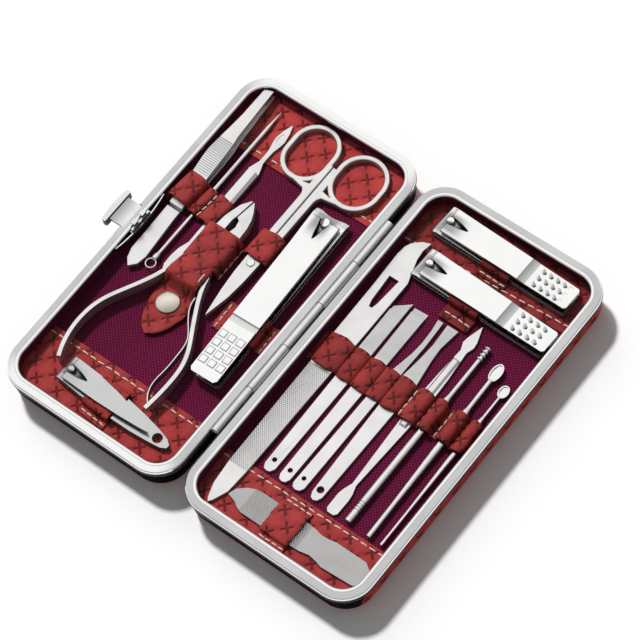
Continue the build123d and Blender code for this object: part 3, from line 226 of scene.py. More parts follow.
class Graph:
    """The node graph of one material, or of the world."""

    # Places of a Mix node's two colours and of its blended colour.
    MIX_A = 6
    MIX_B = 7
    MIX_RESULT = 2

    def __init__(self, owner: bpy.types.Material | bpy.types.World, kind: str = "Material") -> None:
        """Empty the owner's graph down to its output.

        Args:
            owner: The material or the world.
            kind: Which of the two it is, as its output node names it.
        """
        owner.use_nodes = True
        self.tree = owner.node_tree
        self.tree.nodes.clear()
        self.output = self.tree.nodes.new(f"ShaderNodeOutput{kind}")

    def node(self, kind: str, settings: dict, inputs: dict, out: str | int = 0) -> Sock:
        """Add one node.

        Args:
            kind: The node's type.
            settings: The node's own settings, set first.
            inputs: Numbers or links for its sockets, by name or by place.
            out: Which output to hand back.

        Returns:
            That output.
        """
        made = self.tree.nodes.new(kind)
        for key, value in settings.items():
            if key == "stops":
                self._fill_ramp(made.color_ramp, value)
            else:
                setattr(made, key, value)
        for key, value in inputs.items():
            self._feed(made.inputs[key], value)
        return Sock(self, made.outputs[out])

    @staticmethod
    def _fill_ramp(ramp: bpy.types.ColorRamp, stops: list) -> None:
        """Give a ramp its stops, each a place and a colour.

        Args:
            ramp: The ramp.
            stops: Its stops, from low to high.
        """
        while len(ramp.elements) < len(stops):
            ramp.elements.new(1.0)
        for element, (place, colour) in zip(ramp.elements, stops):
            element.position = place
            element.color = (*colour, 1)

    def _feed(self, socket: bpy.types.NodeSocket, value: Operand) -> None:
        """Link or set one input socket.

        Args:
            socket: The socket.
            value: A link, a number, a colour or a vector.
        """
        if isinstance(value, Sock):
            self.tree.links.new(value.socket, socket)
        elif socket.type == "RGBA":
            socket.default_value = (*value, 1)
        else:
            socket.default_value = value

    def sum_of(self, operation: str, a: Operand, b: Operand) -> Sock:
        """Add one Math or Vector Math node.

        Args:
            operation: The node's operation.
            a: First value.
            b: Second value.

        Returns:
            The result.
        """
        vector = any(isinstance(v, tuple) or (isinstance(v, Sock) and v.is_vector) for v in (a, b))
        if vector:
            a, b = ((v, v, v) if isinstance(v, (int, float)) else v for v in (a, b))
            return self.node("ShaderNodeVectorMath", {"operation": operation}, {0: a, 1: b})
        return self.node("ShaderNodeMath", {"operation": operation}, {0: a, 1: b})

    def mix(self, factor: Operand, a: Operand, b: Operand) -> Sock:
        """Blend two colours.

        Args:
            factor: 0 gives a, 1 gives b.
            a: First colour.
            b: Second colour.

        Returns:
            The blend.
        """
        inputs = {"Factor": factor, self.MIX_A: a, self.MIX_B: b}
        return self.node("ShaderNodeMix", {"data_type": "RGBA"}, inputs, self.MIX_RESULT)

    def layered(self, base: Operand, *layers: tuple[Operand, Operand]) -> Sock:
        """Lay colours over one another.

        Args:
            base: The lowest colour.
            *layers: A mask and a colour each, from the lowest to the highest.

        Returns:
            The colour to show.
        """
        for mask, colour in layers:
            base = self.mix(mask, base, colour)
        return base

    def place(self) -> Sock:
        """Place on the piece in millimetres, in the part's frame."""
        return self.node("ShaderNodeTexCoord", {}, {}, "Object") * (1 / MM)

    def facing(self) -> Sock:
        """The surface's own direction, in the part's frame."""
        return self.node("ShaderNodeTexCoord", {}, {}, "Normal")

    def axes(self, vector: Sock) -> tuple[Sock, Sock, Sock]:
        """The three parts of a vector."""
        made = self.node("ShaderNodeSeparateXYZ", {}, {"Vector": vector}).socket.node
        return tuple(Sock(self, made.outputs[i]) for i in range(3))

    def vector(self, x: Operand, y: Operand, z: Operand) -> Sock:
        """A vector from three values."""
        return self.node("ShaderNodeCombineXYZ", {}, {0: x, 1: y, 2: z})

    def upright(self, start: float, full: float) -> Sock:
        """Mask of upright faces, from how far up or down they face: 0 at start, 1 at full."""
        return abs(self.axes(self.facing())[2]).clear(start, full)

    def laid(self, fold_z: float = 0.0) -> tuple[Sock, Sock]:
        """Sheet coordinates that run over a rounded edge and on along the wall without a seam.

        Args:
            fold_z: Height of the flat part of the sheet, in mm.

        Returns:
            The two coordinates, in mm.
        """
        x, y, z = self.axes(self.place())
        nx, ny, _ = self.axes(self.facing())
        rise = z - fold_z
        return x + nx * rise, y + ny * rise

    def noise(self, where: Sock, scale: float, detail: float = 2.0, rough: float = 0.5) -> Sock:
        """Cloudy noise, 0 to 1; scale is in cycles to a millimetre."""
        inputs = {"Vector": where, "Scale": scale, "Detail": detail, "Roughness": rough}
        return self.node("ShaderNodeTexNoise", {}, inputs)

    def cells(self, where: Sock, scale: float) -> Sock:
        """Distance from the middles of scattered cells; scale is in cells to a millimetre."""
        return self.node("ShaderNodeTexVoronoi", {}, {"Vector": where, "Scale": scale}, "Distance")

    def bump(self, height: Sock, depth: float, strength: float = 1.0) -> Sock:
        """Surface direction from a height in 0 to 1 that stands for depth in millimetres."""
        inputs = {"Height": height, "Distance": depth * MM, "Strength": strength}
        return self.node("ShaderNodeBump", {}, inputs, "Normal")

    def surface(self, **inputs: Operand) -> None:
        """Finish the material with one Principled shader.

        Args:
            **inputs: Its sockets, with _ for a space in the name.
        """
        named = {key.replace("_", " "): value for key, value in inputs.items()}
        self.end_with(self.node("ShaderNodeBsdfPrincipled", {}, named, "BSDF"))

    def end_with(self, shader: Sock) -> None:
        """Link the last shader to the output."""
        self.tree.links.new(shader.socket, self.output.inputs["Surface"])


# ------------------------------------------------------------------ finishes
@dataclass(frozen=True)
class Finish:
    """One finish; its material is made once and shared."""

    name: str

    def paint(self, graph: Graph) -> None:
        """Fill the material's graph."""
        raise NotImplementedError

    def material(self) -> bpy.types.Material:
        """The finish's material, made on first use.

        Returns:
            The material.
        """
        made = bpy.data.materials.get(self.name)
        if made is None:
            made = bpy.data.materials.new(self.name)
            self.paint(Graph(made))
        return made


@dataclass(frozen=True)
class EmbossedLeather(Finish):
    """Coated leather with a fine grain and a diamond lattice of pressed crosses.

    The lattice's spacing and start, the near and far end of a cross's arm, its stroke, the
    wander of its lines and the offset of its lit edge are in mm. The pattern is wrapped over
    the edge at fold_z, or laid from straight above where that is None. Each cross has a
    painted highlight along its lit edge, and the puffed leather between the crosses has
    painted shade near the lattice's lines and a painted highlight on its middle.
    """

    colour: Colour = srgb(174, 54, 52)
    pressed: Colour = srgb(96, 17, 19)
    lattice: Pair = (9.8, 10.2)
    start: Pair = (-3.2, 58.5)
    arm: Pair = (0.15, 2.4)
    stroke: float = 0.38
    fold_z: float | None = 12.0
    specular: float = 0.36
    wander: float = 0.8
    lit_edge: Pair = (0.5, 0.16)
    depth: float = 0.24

    def sheet(self, graph: Graph, where: Sock) -> tuple[Sock, Sock]:
        """Sheet coordinates of the pattern, in mm."""
        if self.fold_z is None:
            return graph.axes(where)[:2]
        return graph.laid(self.fold_z)

    def lines(self, u: Sock, v: Sock) -> tuple[Sock, Sock]:
        """How far a place lies from the lattice's two families of lines.

        Args:
            u: Sheet coordinate across, in mm.
            v: Sheet coordinate along, in mm.

        Returns:
            The two distances, in mm.
        """
        a = (u - self.start[0]) / self.lattice[0]
        b = (v - self.start[1]) / self.lattice[1]
        step = self.lattice[0] / math.sqrt(2)
        return tuple((0.5 - abs(run.part() - 0.5)) * step for run in (a + b, a - b))

    def cross_mask(self, near_p: Sock, near_q: Sock) -> Sock:
        """Mask of the pressed crosses.

        Args:
            near_p: Distance from the first family of lines, in mm.
            near_q: Distance from the second.

        Returns:
            1 in a stroke, 0 outside.
        """
        inner, outer = self.arm
        strokes = []
        for across, along in ((near_p, near_q), (near_q, near_p)):
            thin = across.clear(self.stroke + 0.24, self.stroke - 0.2)
            ends = along.clear(outer + 0.35, outer - 0.35) * along.clear(inner - 0.15, inner + 0.2)
            strokes.append(thin * ends)
        return strokes[0].most(strokes[1])

    def paint(self, graph: Graph) -> None:
        """Fill the material's graph.

        Args:
            graph: The material's graph.
        """
        where = graph.place()
        u, v = self.sheet(graph, where)
        wobble = graph.noise(where, 0.3)
        u, v = u + (wobble - 0.5) * self.wander, v + (0.5 - wobble) * self.wander
        near = self.lines(u, v)
        mask = self.cross_mask(*near)
        # Painted highlight along one edge of each pressed cross.
        beside = self.lines(u - self.lit_edge[0], v + self.lit_edge[1])
        lit = self.cross_mask(*beside) * (1 - mask)
        # The puff's colour is painted shade near the lines and a painted highlight in the middle;
        # its height is a bump.
        puff = near[0].least(near[1]).clear(0.0, 2.6)
        wear_and_highlight = graph.noise(where, 0.5, 3.0).clear(0.28, 0.6)
        pebbles = graph.cells(where, 1.9)
        fine = graph.noise(where, 3.2, 4.0, 0.65)
        cloud = graph.noise(where, 0.09, 4.0, 0.6)
        dark = shade(self.colour, 0.66)
        light = shade(self.colour, 1.22, 0.006)
        painted_highlight = shade(self.colour, 1.5, 0.03)
        base = graph.layered(
            dark,
            (cloud.clear(0.3, 0.7), light),
            (pebbles.clear(0.12, 0.5) * 0.4 + fine.clear(0.48, 0.72) * 0.36, dark),
            # Painted shade near the lattice's lines, then painted highlights on the puffs and on
            # the crosses' lit edges.
            ((1 - puff) * 0.2, dark),
            (puff * 0.22, painted_highlight),
            (lit * wear_and_highlight * 0.5, painted_highlight),
            (mask * (0.7 + wear_and_highlight * 0.3), self.pressed),
        )
        base = self.add_painted_shadow(graph, where, base)
        height = (1 - pebbles) * 0.34 + fine * 0.26 + (1 - mask) * 0.95 + puff * 0.9
        graph.surface(
            Base_Color=base,
            Roughness=0.34 + fine * 0.22,
            Specular_IOR_Level=self.specular,
            Normal=graph.bump(height, self.depth),
        )

    def add_painted_shadow(self, graph: Graph, where: Sock, base: Sock) -> Sock:
        """Colour with any painted shadow over the leather's own.

        Args:
            graph: The material's graph.
            where: Place in mm.
            base: The leather's colour.

        Returns:
            The colour to show.
        """
        return base


@dataclass(frozen=True)
class ShellLeather(EmbossedLeather):
    """The cover's leather, with painted shadow: a black band round its wall under the frame.

    The band's lower edge is at the height low, and at low_foot across the foot end, which faces
    away from the lamp.
    """

    fold_z: float | None = 0.0
    specular: float = 0.02
    low: float = 8.8
    low_foot: float = 1.6
    # Near-black of the painted shadow.
    shadow_black: Colour = (0.002, 0.0015, 0.0015)

    def add_painted_shadow(self, graph: Graph, where: Sock, base: Sock) -> Sock:
        """Colour with the painted shadow band over it.

        Args:
            graph: The material's graph.
            where: Place in mm.
            base: The leather's colour.

        Returns:
            The colour to show.
        """
        _, _, z = graph.axes(where)
        _, ny, nz = graph.axes(graph.facing())
        foot = ny.clear(-0.25, -0.6)
        start = self.low + foot * (self.low_foot - self.low)
        # Painted shadow: near-black on the walls above the band's lower edge, which drops on the
        # foot end.
        band = (z - start).clear(0.0, 0.35) * abs(nz).clear(0.8, 0.5)
        return graph.mix(band, base, self.shadow_black)


@dataclass(frozen=True)
class RawLeatherEdge(Finish):
    """Cut edge and rough back of the leather."""

    colour: Colour = srgb(108, 44, 40)

    def paint(self, graph: Graph) -> None:
        """Fill the material's graph.

        Args:
            graph: The material's graph.
        """
        fibres = graph.noise(graph.place(), 4.0, 5.0, 0.7)
        graph.surface(
            Base_Color=graph.mix(fibres.clear(0.35, 0.7), shade(self.colour, 0.45), self.colour),
            Roughness=0.85,
            Normal=graph.bump(fibres, 0.12),
        )


@dataclass(frozen=True)
class WovenLining(Finish):
    """Close-woven cloth with a faint sheen and light catching each thread crossing."""

    colour: Colour = srgb(136, 32, 78)
    deep: Colour = srgb(46, 6, 24)
    sheen: Colour = (0.75, 0.35, 0.6)
    pitch: float = 1.5
    depth: float = 0.2

    def paint(self, graph: Graph) -> None:
        """Fill the material's graph.

        Args:
            graph: The material's graph.
        """
        u, v = graph.laid()
        where = graph.place()
        drift = graph.noise(where, 0.35)
        wave = 2 * math.pi / self.pitch
        warp = ((u + drift * 0.3) * wave).sine()
        weft = ((v + drift * 0.3) * wave).sine()
        knots = warp * weft * 0.5 + 0.5
        threads = graph.noise(graph.vector(u * 2.0, v * 9.0, 0.0), 1.0, 3.0)
        cloud = graph.noise(where, 0.05, 3.0)
        tone = graph.layered(
            shade(self.colour, 0.8),
            (cloud.clear(0.3, 0.75), self.colour),
            ((1 - knots) * 0.95 + threads * 0.2, self.deep),
        )
        graph.surface(
            Base_Color=tone,
            Roughness=0.6 + threads * 0.25,
            Specular_IOR_Level=0.2,
            Sheen_Weight=0.08,
            Sheen_Roughness=0.4,
            Sheen_Tint=self.sheen,
            Normal=graph.bump(knots + threads * 0.2, self.depth, 0.9),
        )


class Grain(Enum):
    """How a metal's fine polishing lines run, as cycles across x and across y."""

    NONE = (1.0, 1.0)
    ALONG_Y = (6.0, 0.12)


@dataclass(frozen=True)
class Steel(Finish):
    """Bare metal: satin or polished, with polishing lines, handling marks and a duller film."""

    colour: Colour = (0.8, 0.79, 0.78)
    gloss: float = 0.25
    spread: float = 0.12
    grain: Grain = Grain.NONE
    line_depth: float = 0.004
    mottle: float = 0.08
    # Share of painted shade on the upright walls.
    wall_painted_shade: float = 0.3
    wall_rough: float = 0.3

    def wall(self, graph: Graph) -> Sock:
        """Mask of the upright walls."""
        return graph.upright(0.8, 0.3)

    def lines(self, graph: Graph, where: Sock) -> Sock:
        """Fine polishing lines, 0 to 1."""
        x, y, z = graph.axes(where)
        gx, gy = self.grain.value
        return graph.noise(graph.vector(x * gx, y * gy, z * 2.0), 2.2, 4.0, 0.65)

    def height(self, graph: Graph, where: Sock, lines: Sock) -> Sock:
        """Height pattern that the metal's surface follows, 0 to 1."""
        return lines

    def tone(self, graph: Graph, where: Sock) -> Sock:
        """Darker places on the metal, 0 to 1: painted shade on its upright walls, which are also
        rougher than its face.
        """
        return self.wall(graph) * self.wall_painted_shade

    def paint(self, graph: Graph) -> None:
        """Fill the material's graph.

        Args:
            graph: The material's graph.
        """
        where = graph.place()
        lines = self.lines(graph, where)
        film = graph.noise(where, 0.12, 3.0)
        base = graph.layered(
            self.colour,
            (film.clear(0.25, 0.8) * 0.6 + lines * 0.4, shade(self.colour, 1 - self.mottle * 2)),
            # Dark places from tone: painted shade on the upright walls, and each finish's own.
            (self.tone(graph, where), shade(self.colour, 0.03)),
        )
        rough = self.gloss + lines * self.spread + film * 0.04
        graph.surface(
            Base_Color=base,
            Metallic=1.0,
            Roughness=rough + self.wall(graph) * self.wall_rough,
            Normal=graph.bump(self.height(graph, where, lines), self.line_depth),
        )


@dataclass(frozen=True)
class RimSteel(Steel):
    """Pressed frame: brushed flat facet, bright rounded inner lip, and on the outer wall a painted
    dark reflection in black.

    The base half's facet has a painted highlight across its two ends, between the latch's side
    and the hinge. Places are in mm.
    """

    facet_z: float = 13.3
    facets: tuple[Colour, Colour] = ((0.56, 0.56, 0.565), (0.66, 0.66, 0.655))
    painted_end_highlight: Colour = (0.97, 0.97, 0.96)
    specks: Colour = (0.45, 0.45, 0.455)
    lip: Colour = (0.93, 0.93, 0.92)
    painted_dark_reflection: Colour = (0.006, 0.005, 0.005)
    ends: Pair = (66.0, 71.0)
    latch_side: Pair = (-42.0, -32.0)
    hinge_side: Pair = (HINGE_X, HINGE_X - 8.0)
    wall_top: Pair = (12.9, 12.3)

    def paint(self, graph: Graph) -> None:
        """Fill the material's graph.

        Args:
            graph: The material's graph.
        """
        where = graph.place()
        x, y, z = graph.axes(where)
        flat = abs(z - self.facet_z).clear(0.06, 0.02)
        speck = graph.noise(where, 3.0, 4.0, 0.7)
        film = graph.noise(where, 0.06, 3.0).clear(0.3, 0.75)
        # Painted highlight across the base half's two ends.
        ends = abs(y).clear(*self.ends) * x.clear(*self.hinge_side) * x.clear(*self.latch_side)
        facet = graph.layered(
            self.facets[0],
            (film, self.facets[1]),
            (ends * 0.95, self.painted_end_highlight),
            (speck.clear(0.45, 0.8) * 0.3, self.specks),
        )
        # Painted dark reflection: the outer wall is black and not metal.
        wall = graph.upright(0.45, 0.15) * z.clear(*self.wall_top)
        graph.surface(
            Base_Color=graph.layered(self.lip, (flat, facet), (wall * 0.99, self.painted_dark_reflection)),
            Metallic=1 - wall,
            Specular_IOR_Level=0.1,
            Roughness=0.1 + flat * 0.22 + speck * 0.06,
            Normal=graph.bump(speck * flat, 0.006),
        )


@dataclass(frozen=True)
class HatchedSteel(Steel):
    """Flat steel with one stretch cut into a crossed file pattern."""

    cut: Pair = (-55.0, -8.0)
    along_y: bool = True
    pitch: float = 0.95
    slope: float = 0.8

    def teeth(self, graph: Graph, where: Sock) -> Sock:
        """The crossed cuts, 0 to 1.

        Args:
            graph: The material's graph.
            where: Place in mm.

        Returns:
            The height of the cuts.
        """
        x, y, _ = graph.axes(where)
        wave = 2 * math.pi / self.pitch
        one = ((x + y * self.slope) * wave).sine()
        two = ((x - y * self.slope) * wave).sine()
        return one.most(two) * 0.5 + 0.5

    def inside(self, graph: Graph, where: Sock) -> Sock:
        """Mask of the cut stretch."""
        x, y, _ = graph.axes(where)
        along = y if self.along_y else x
        return along.between(*self.cut, 0.5)

    def height(self, graph: Graph, where: Sock, lines: Sock) -> Sock:
        """Cuts inside the stretch, polishing lines outside."""
        return self.teeth(graph, where) * self.inside(graph, where) + lines * 0.03

    def tone(self, graph: Graph, where: Sock) -> Sock:
        """Shade in the bottoms of the cuts."""
        deep = self.teeth(graph, where).clear(0.75, 0.2)
        return (deep * self.inside(graph, where) * 0.28).most(super().tone(graph, where))


@dataclass(frozen=True)
class BladeSteel(Steel):
    """Flat blade whose head is darker than its handle."""

    head: Pair = (3.0, 9.0)
    head_dark: float = 0.3

    def tone(self, graph: Graph, where: Sock) -> Sock:
        """How much darker the head is.

        Args:
            graph: The material's graph.
            where: Place in mm.

        Returns:
            The shade, 0 to 1.
        """
        _, y, _ = graph.axes(where)
        streak = graph.noise(where, 0.3)
        head = y.clear(*self.head) * (0.75 + streak * 0.5) * self.head_dark
        return head.most(super().tone(graph, where))


@dataclass(frozen=True)
class RibbedSteel(Steel):
    """Steel with a stretch of fine grip ribs across it."""

    ribs: Pair = (29.6, 45.4)
    pitch: float = 0.9

    def tone(self, graph: Graph, where: Sock) -> Sock:
        """Shade in the grooves between the ribs.

        Args:
            graph: The material's graph.
            where: Place in mm.

        Returns:
            The shade, 0 to 1.
        """
        _, y, _ = graph.axes(where)
        inside = y.between(*self.ribs, 0.3)
        groove = ((y - self.ribs[0]) * (2 * math.pi / self.pitch)).sine().clear(0.0, 0.9)
        return (groove * inside * 0.6).most(super().tone(graph, where))


@dataclass(frozen=True)
class FinSteel(Steel):
    """Grip fins: bright on the side that leans, with painted shade on the side behind."""

    def tone(self, graph: Graph, where: Sock) -> Sock:
        """Painted shade on the back of each fin, by which way it faces."""
        nx, ny, _ = graph.axes(graph.facing())
        return (nx * 0.8 - ny * 0.6).clear(0.05, 0.6) * 0.9


@dataclass(frozen=True)
class CapSteel(Steel):
    """Domed cap with painted shade: bright on one shoulder and darker towards the other."""

    middle: Pair = (0.0, 0.0)
    reach: float = 4.65

    def tone(self, graph: Graph, where: Sock) -> Sock:
        """Painted shade across the dome and round its rolled rim.

        Args:
            graph: The material's graph.
            where: Place in mm.

        Returns:
            The shade, 0 to 1.
        """
        x, y, _ = graph.axes(where)
        dx, dy = (x - self.middle[0]) / self.reach, (y - self.middle[1]) / self.reach
        across = dx * 0.8 - dy * 0.6
        rim = (dx * dx + dy * dy).clear(0.78, 0.95)
        return across.clear(-0.35, 1.0) * 0.5 + rim * 0.3 * across.clear(-0.6, 0.4)


@dataclass(frozen=True)
class EdgedSteel(Steel):
    """Polished stamping with a painted dark reflection on its edges and folded step."""

    step_x: float = -45.9
    stem_end: float = -39.5

    def tone(self, graph: Graph, where: Sock) -> Sock:
        """Painted shade on every edge and wall, on the folded step, and on the stem beside it.

        Args:
            graph: The material's graph.
            where: Place in mm.

        Returns:
            The shade, 0 to 1.
        """
        x, _, _ = graph.axes(where)
        edges = graph.upright(0.97, 0.8) * self.wall_painted_shade
        # Painted dark reflection along the folded step.
        seam = (abs(x - self.step_x) - 0.16).clear(0.16, -0.04) * 0.85
        stem = x.clear(self.stem_end, self.step_x) * x.clear(self.step_x - 0.1, self.step_x) * 0.5
        return edges.most(seam).most(stem)


@dataclass(frozen=True)
class ClipperSteel(Steel):
    """Polished clipper part with its places of painted shade, all placed along and across the
    clipper.

    A well is where it starts and ends and half its width; a ramp is where it starts and ends
    and how dark it is; the grip squares are the first one's place, their two pitches and half
    their width. A knob is a round post's place, and the corners are the leaves' upper edges.
    """

    start: Pair = (0.0, 0.0)
    heading: float = 0.0
    wells: tuple[Triple, ...] = ()
    ramps: tuple[Triple, ...] = ()
    squares: tuple[float, float, float, float] | None = None
    knob: float | None = None
    corners: tuple[float, ...] = ()
    shoulder: float = 0.6

    def height(self, graph: Graph, where: Sock, lines: Sock) -> Sock:
        """Polishing lines, and on the walls the rounded upper corner of each leaf.

        Args:
            graph: The material's graph.
            where: Place in mm.
            lines: The polishing lines, 0 to 1.

        Returns:
            The height, 0 to 1.
        """
        _, _, z = graph.axes(where)
        rise = lines * 0.003
        for low in self.corners:
            rise = rise + z.clear(low + 0.55, low) * 0.4
        return rise

    def local(self, graph: Graph, where: Sock) -> tuple[Sock, Sock]:
        """Distance from the cutting edge and across the clipper, in mm.

        Args:
            graph: The material's graph.
            where: Place in mm.

        Returns:
            The two distances.
        """
        x, y, _ = graph.axes(where)
        a = math.radians(self.heading)
        dx, dy = x - (HINGE_X + self.start[0]), y - self.start[1]
        return dx * math.cos(a) + dy * math.sin(a), dy * math.cos(a) - dx * math.sin(a)

    def well_shades(self, u: Sock, v: Sock, near: float, far: float, half: float) -> Iterator[Sock]:
        """Shade beside a fork well and in it, 0 to 1.

        Args:
            u: Distance along the clipper, in mm.
            v: Distance across it, in mm.
            near: Where the well starts.
            far: Where it ends.
            half: Half its width at its start.

        Yields:
            The two shades.
        """
        t = (u - near) / (far - near)
        edge = (abs(v) - half * (1 - t * t * 0.9)).clear(0.2, -0.2)
        hollow = edge * t.clear(-0.03, 0.02) * t.clear(1.03, 0.94)
        beside = (abs(v + 0.8) - half * 1.7).clear(1.4, -1.0)
        yield beside * t.clear(1.1, 0.4) * t.clear(-0.25, 0.0) * self.shoulder
        yield hollow * (0.7 + t.clear(0.4, 0.65) * 0.27)

    @staticmethod
    def square_rims(
        u: Sock, v: Sock, first: float, along: float, across: float, half: float
    ) -> Sock:
        """Shade in the grooves round the grip squares, four along and three across.

        Args:
            u: Distance along the clipper, in mm.
            v: Distance across it, in mm.
            first: The first square's place.
            along: Pitch along the clipper.
            across: Pitch across it.
            half: Half a square's width.

        Returns:
            The shade, 0 to 1.
        """
        du = abs(((u - first) / along + 0.5).part() - 0.5) * along
        dv = abs((v / across + 0.5).part() - 0.5) * across
        rim = abs(du.most(dv) - half).clear(0.34, 0.1)
        start = first - along * 0.5
        area = u.clear(start, start + 0.1) * abs(v).clear(across * 1.5, across * 1.49)
        end = u.clear(first + along * 3.5, first + along * 3.49)
        return rim * area * end * 0.5

    def shades(self, u: Sock, v: Sock) -> Iterator[Sock]:
        """Each place of painted shade in turn, 0 to 1.

        Args:
            u: Distance along the clipper, in mm.
            v: Distance across it, in mm.

        Yields:
            The shades.
        """
        for well in self.wells:
            yield from self.well_shades(u, v, *well)
        for near, far, depth in self.ramps:
            t = (u - near) / (far - near)
            inside = t.clear(-0.04, 0.04) * t.clear(1.04, 0.96)
            yield inside * (1 - t * 0.45) * depth
        if self.knob is not None:
            yield ((u - self.knob) * 0.3 - v * 0.9).clear(0.0, 0.8) * 0.85
        if self.squares:
            yield self.square_rims(u, v, *self.squares)

    def tone(self, graph: Graph, where: Sock) -> Sock:
        """Painted shade on the part.

        Args:
            graph: The material's graph.
            where: Place in mm.

        Returns:
            The shade, 0 to 1.
        """
        u, v = self.local(graph, where)
        dark = super().tone(graph, where)
        for place in self.shades(u, v):
            dark = dark.most(place)
        return dark


@dataclass(frozen=True)
class Thread(Finish):
    """Twisted sewing thread."""

    colour: Colour = srgb(250, 238, 222)

    def paint(self, graph: Graph) -> None:
        """Fill the material's graph.

        Args:
            graph: The material's graph.
        """
        where = graph.place()
        x, y, z = graph.axes(where)
        twist = ((x + y + z * 1.5) * 14.0).sine() * 0.5 + 0.5
        fuzz = graph.noise(where, 5.0, 3.0)
        graph.surface(
            Base_Color=graph.mix(twist * 0.5 + fuzz * 0.4, self.colour, shade(self.colour, 0.62)),
            Roughness=0.7,
            Normal=graph.bump(twist, 0.08),
        )


@dataclass(frozen=True)
class Shop:
    """Every finish on the case and its tools."""

    leather: Finish = EmbossedLeather("embossed_leather")
    foot_band: Finish = EmbossedLeather("foot_band_leather", srgb(157, 47, 46), srgb(84, 13, 15))
    # The lid's head band, darker as painted shade.
    shaded_band: Finish = EmbossedLeather("deep_band_leather", srgb(134, 32, 35), srgb(72, 10, 12))
    strap: Finish = EmbossedLeather(
        "strap_leather", srgb(154, 44, 42), srgb(84, 11, 13), fold_z=None, specular=0.42,
    )
    lid_strap: Finish = EmbossedLeather(
        "lid_strap_leather", srgb(140, 37, 35), srgb(74, 9, 11), fold_z=None, specular=0.4,
    )
    deep_strap: Finish = EmbossedLeather(
        "deep_strap_leather", srgb(112, 23, 24), srgb(56, 7, 8), fold_z=None, specular=0.3,
    )
    # Covers with a painted shadow band on their walls.
    base_cover: Finish = ShellLeather("base_cover_leather", low=3.4, low_foot=0.8)
    lid_cover: Finish = ShellLeather("lid_cover_leather")
    raw_edge: Finish = RawLeatherEdge("leather_cut_edge")
    lining: Finish = WovenLining("woven_lining")
    thread: Finish = Thread("cream_thread")
    rim: Finish = RimSteel("brushed_frame")
    hinge: Finish = Steel("rolled_hinge", (0.95, 0.95, 0.95), 0.3, 0.1)
    latch: Finish = EdgedSteel("latch_steel", grey(0.86), 0.07, 0.05, mottle=0.1, wall_painted_shade=0.93)
    satin_y: Finish = Steel("satin_steel_long", (0.86, 0.85, 0.84), 0.2, 0.16, Grain.ALONG_Y)
    ribbed: Finish = RibbedSteel("ribbed_steel", (0.86, 0.85, 0.84), 0.2, 0.16, Grain.ALONG_Y)
    blade: Finish = BladeSteel("blade_steel", (0.88, 0.87, 0.86), 0.2, 0.16, Grain.ALONG_Y)
    forged: Finish = Steel("forged_steel", (0.88, 0.88, 0.87), 0.14, 0.12, mottle=0.12)
    bright: Finish = Steel("bright_steel", (0.9, 0.89, 0.88), 0.1, 0.1, mottle=0.05, wall_painted_shade=0.6)
    fins: Finish = FinSteel("fin_steel", grey(0.9), 0.12, 0.05)
    brass: Finish = CapSteel(
        "champagne_brass", (0.9, 0.82, 0.7), 0.16, 0.12, mottle=0.1,
        middle=(HINGE_X + STUD[0], STUD[1]),
    )
    file_cut: Finish = HatchedSteel(
        "file_cut_long", (0.88, 0.87, 0.86), 0.22, 0.16, Grain.ALONG_Y, 0.12,
    )
    plate_cut: Finish = HatchedSteel(
        "file_cut_plate", (0.52, 0.51, 0.5), 0.24, 0.16, Grain.NONE, 0.12,
        cut=(66.0, 91.3), along_y=False, pitch=1.0, slope=0.6,
    )


SHOP = Shop()


# ------------------------------------------------------------------ mesh helpers
def to_mesh(name: str, bm: bmesh.types.BMesh, smooth: bool = True) -> bpy.types.Mesh:
    """Turn mesh-building data into a mesh.

    Args:
        name: The mesh's name.
        bm: The data, freed afterwards.
        smooth: Whether its faces are shaded smooth.

    Returns:
        The mesh.
    """
    bmesh.ops.recalc_face_normals(bm, faces=bm.faces)
    mesh = bpy.data.meshes.new(name)
    bm.to_mesh(mesh)
    bm.free()
    for face in mesh.polygons:
        face.use_smooth = smooth
    return mesh


def skin_rings(
    bm: bmesh.types.BMesh, rings: list[list[Vector]], cut: tuple[int, ...] = ()
) -> None:
    """Join a row of closed rings into one skin with closed ends.

    Args:
        bm: The mesh data to add to.
        rings: The rings, each the same number of points, in metres.
        cut: Which sides of a ring, and with them the two ends, take the second material.
    """
    made = [[bm.verts.new(p) for p in ring] for ring in rings]
    count = len(made[0])
    for a, b in zip(made, made[1:]):
        for i in range(count):
            j = (i + 1) % count
            bm.faces.new((a[i], a[j], b[j], b[i])).material_index = int(i in cut)
    for cap in (list(reversed(made[0])), made[-1]):
        face = bm.faces.new(cap)
        face.material_index = int(bool(cut))
        for edge in face.edges:
            edge.smooth = False


@dataclass(frozen=True)
class LevelFrame:
    """A level frame: where it starts and which way it runs, in degrees from x."""

    x: float
    y: float
    z: float
    heading: float = 0.0

    def at(self, along: float, across: float, up: float) -> Vector:
        """A point in metres.

        Args:
            along: Distance along the heading, in mm.
            across: Distance to the left of it, in mm.
            up: Height above the frame, in mm.

        Returns:
            The point.
        """
        a = math.radians(self.heading)
        px = self.x + along * math.cos(a) - across * math.sin(a)
        py = self.y + along * math.sin(a) + across * math.cos(a)
        return Vector((px, py, self.z + up)) * MM


def from_hinge(x: float, y: float, z: float = LINING_Z, heading: float = 0.0) -> LevelFrame:
    """A frame whose place is measured from the hinge line and the case's middle, in mm."""
    return LevelFrame(HINGE_X + x, y, z, heading)


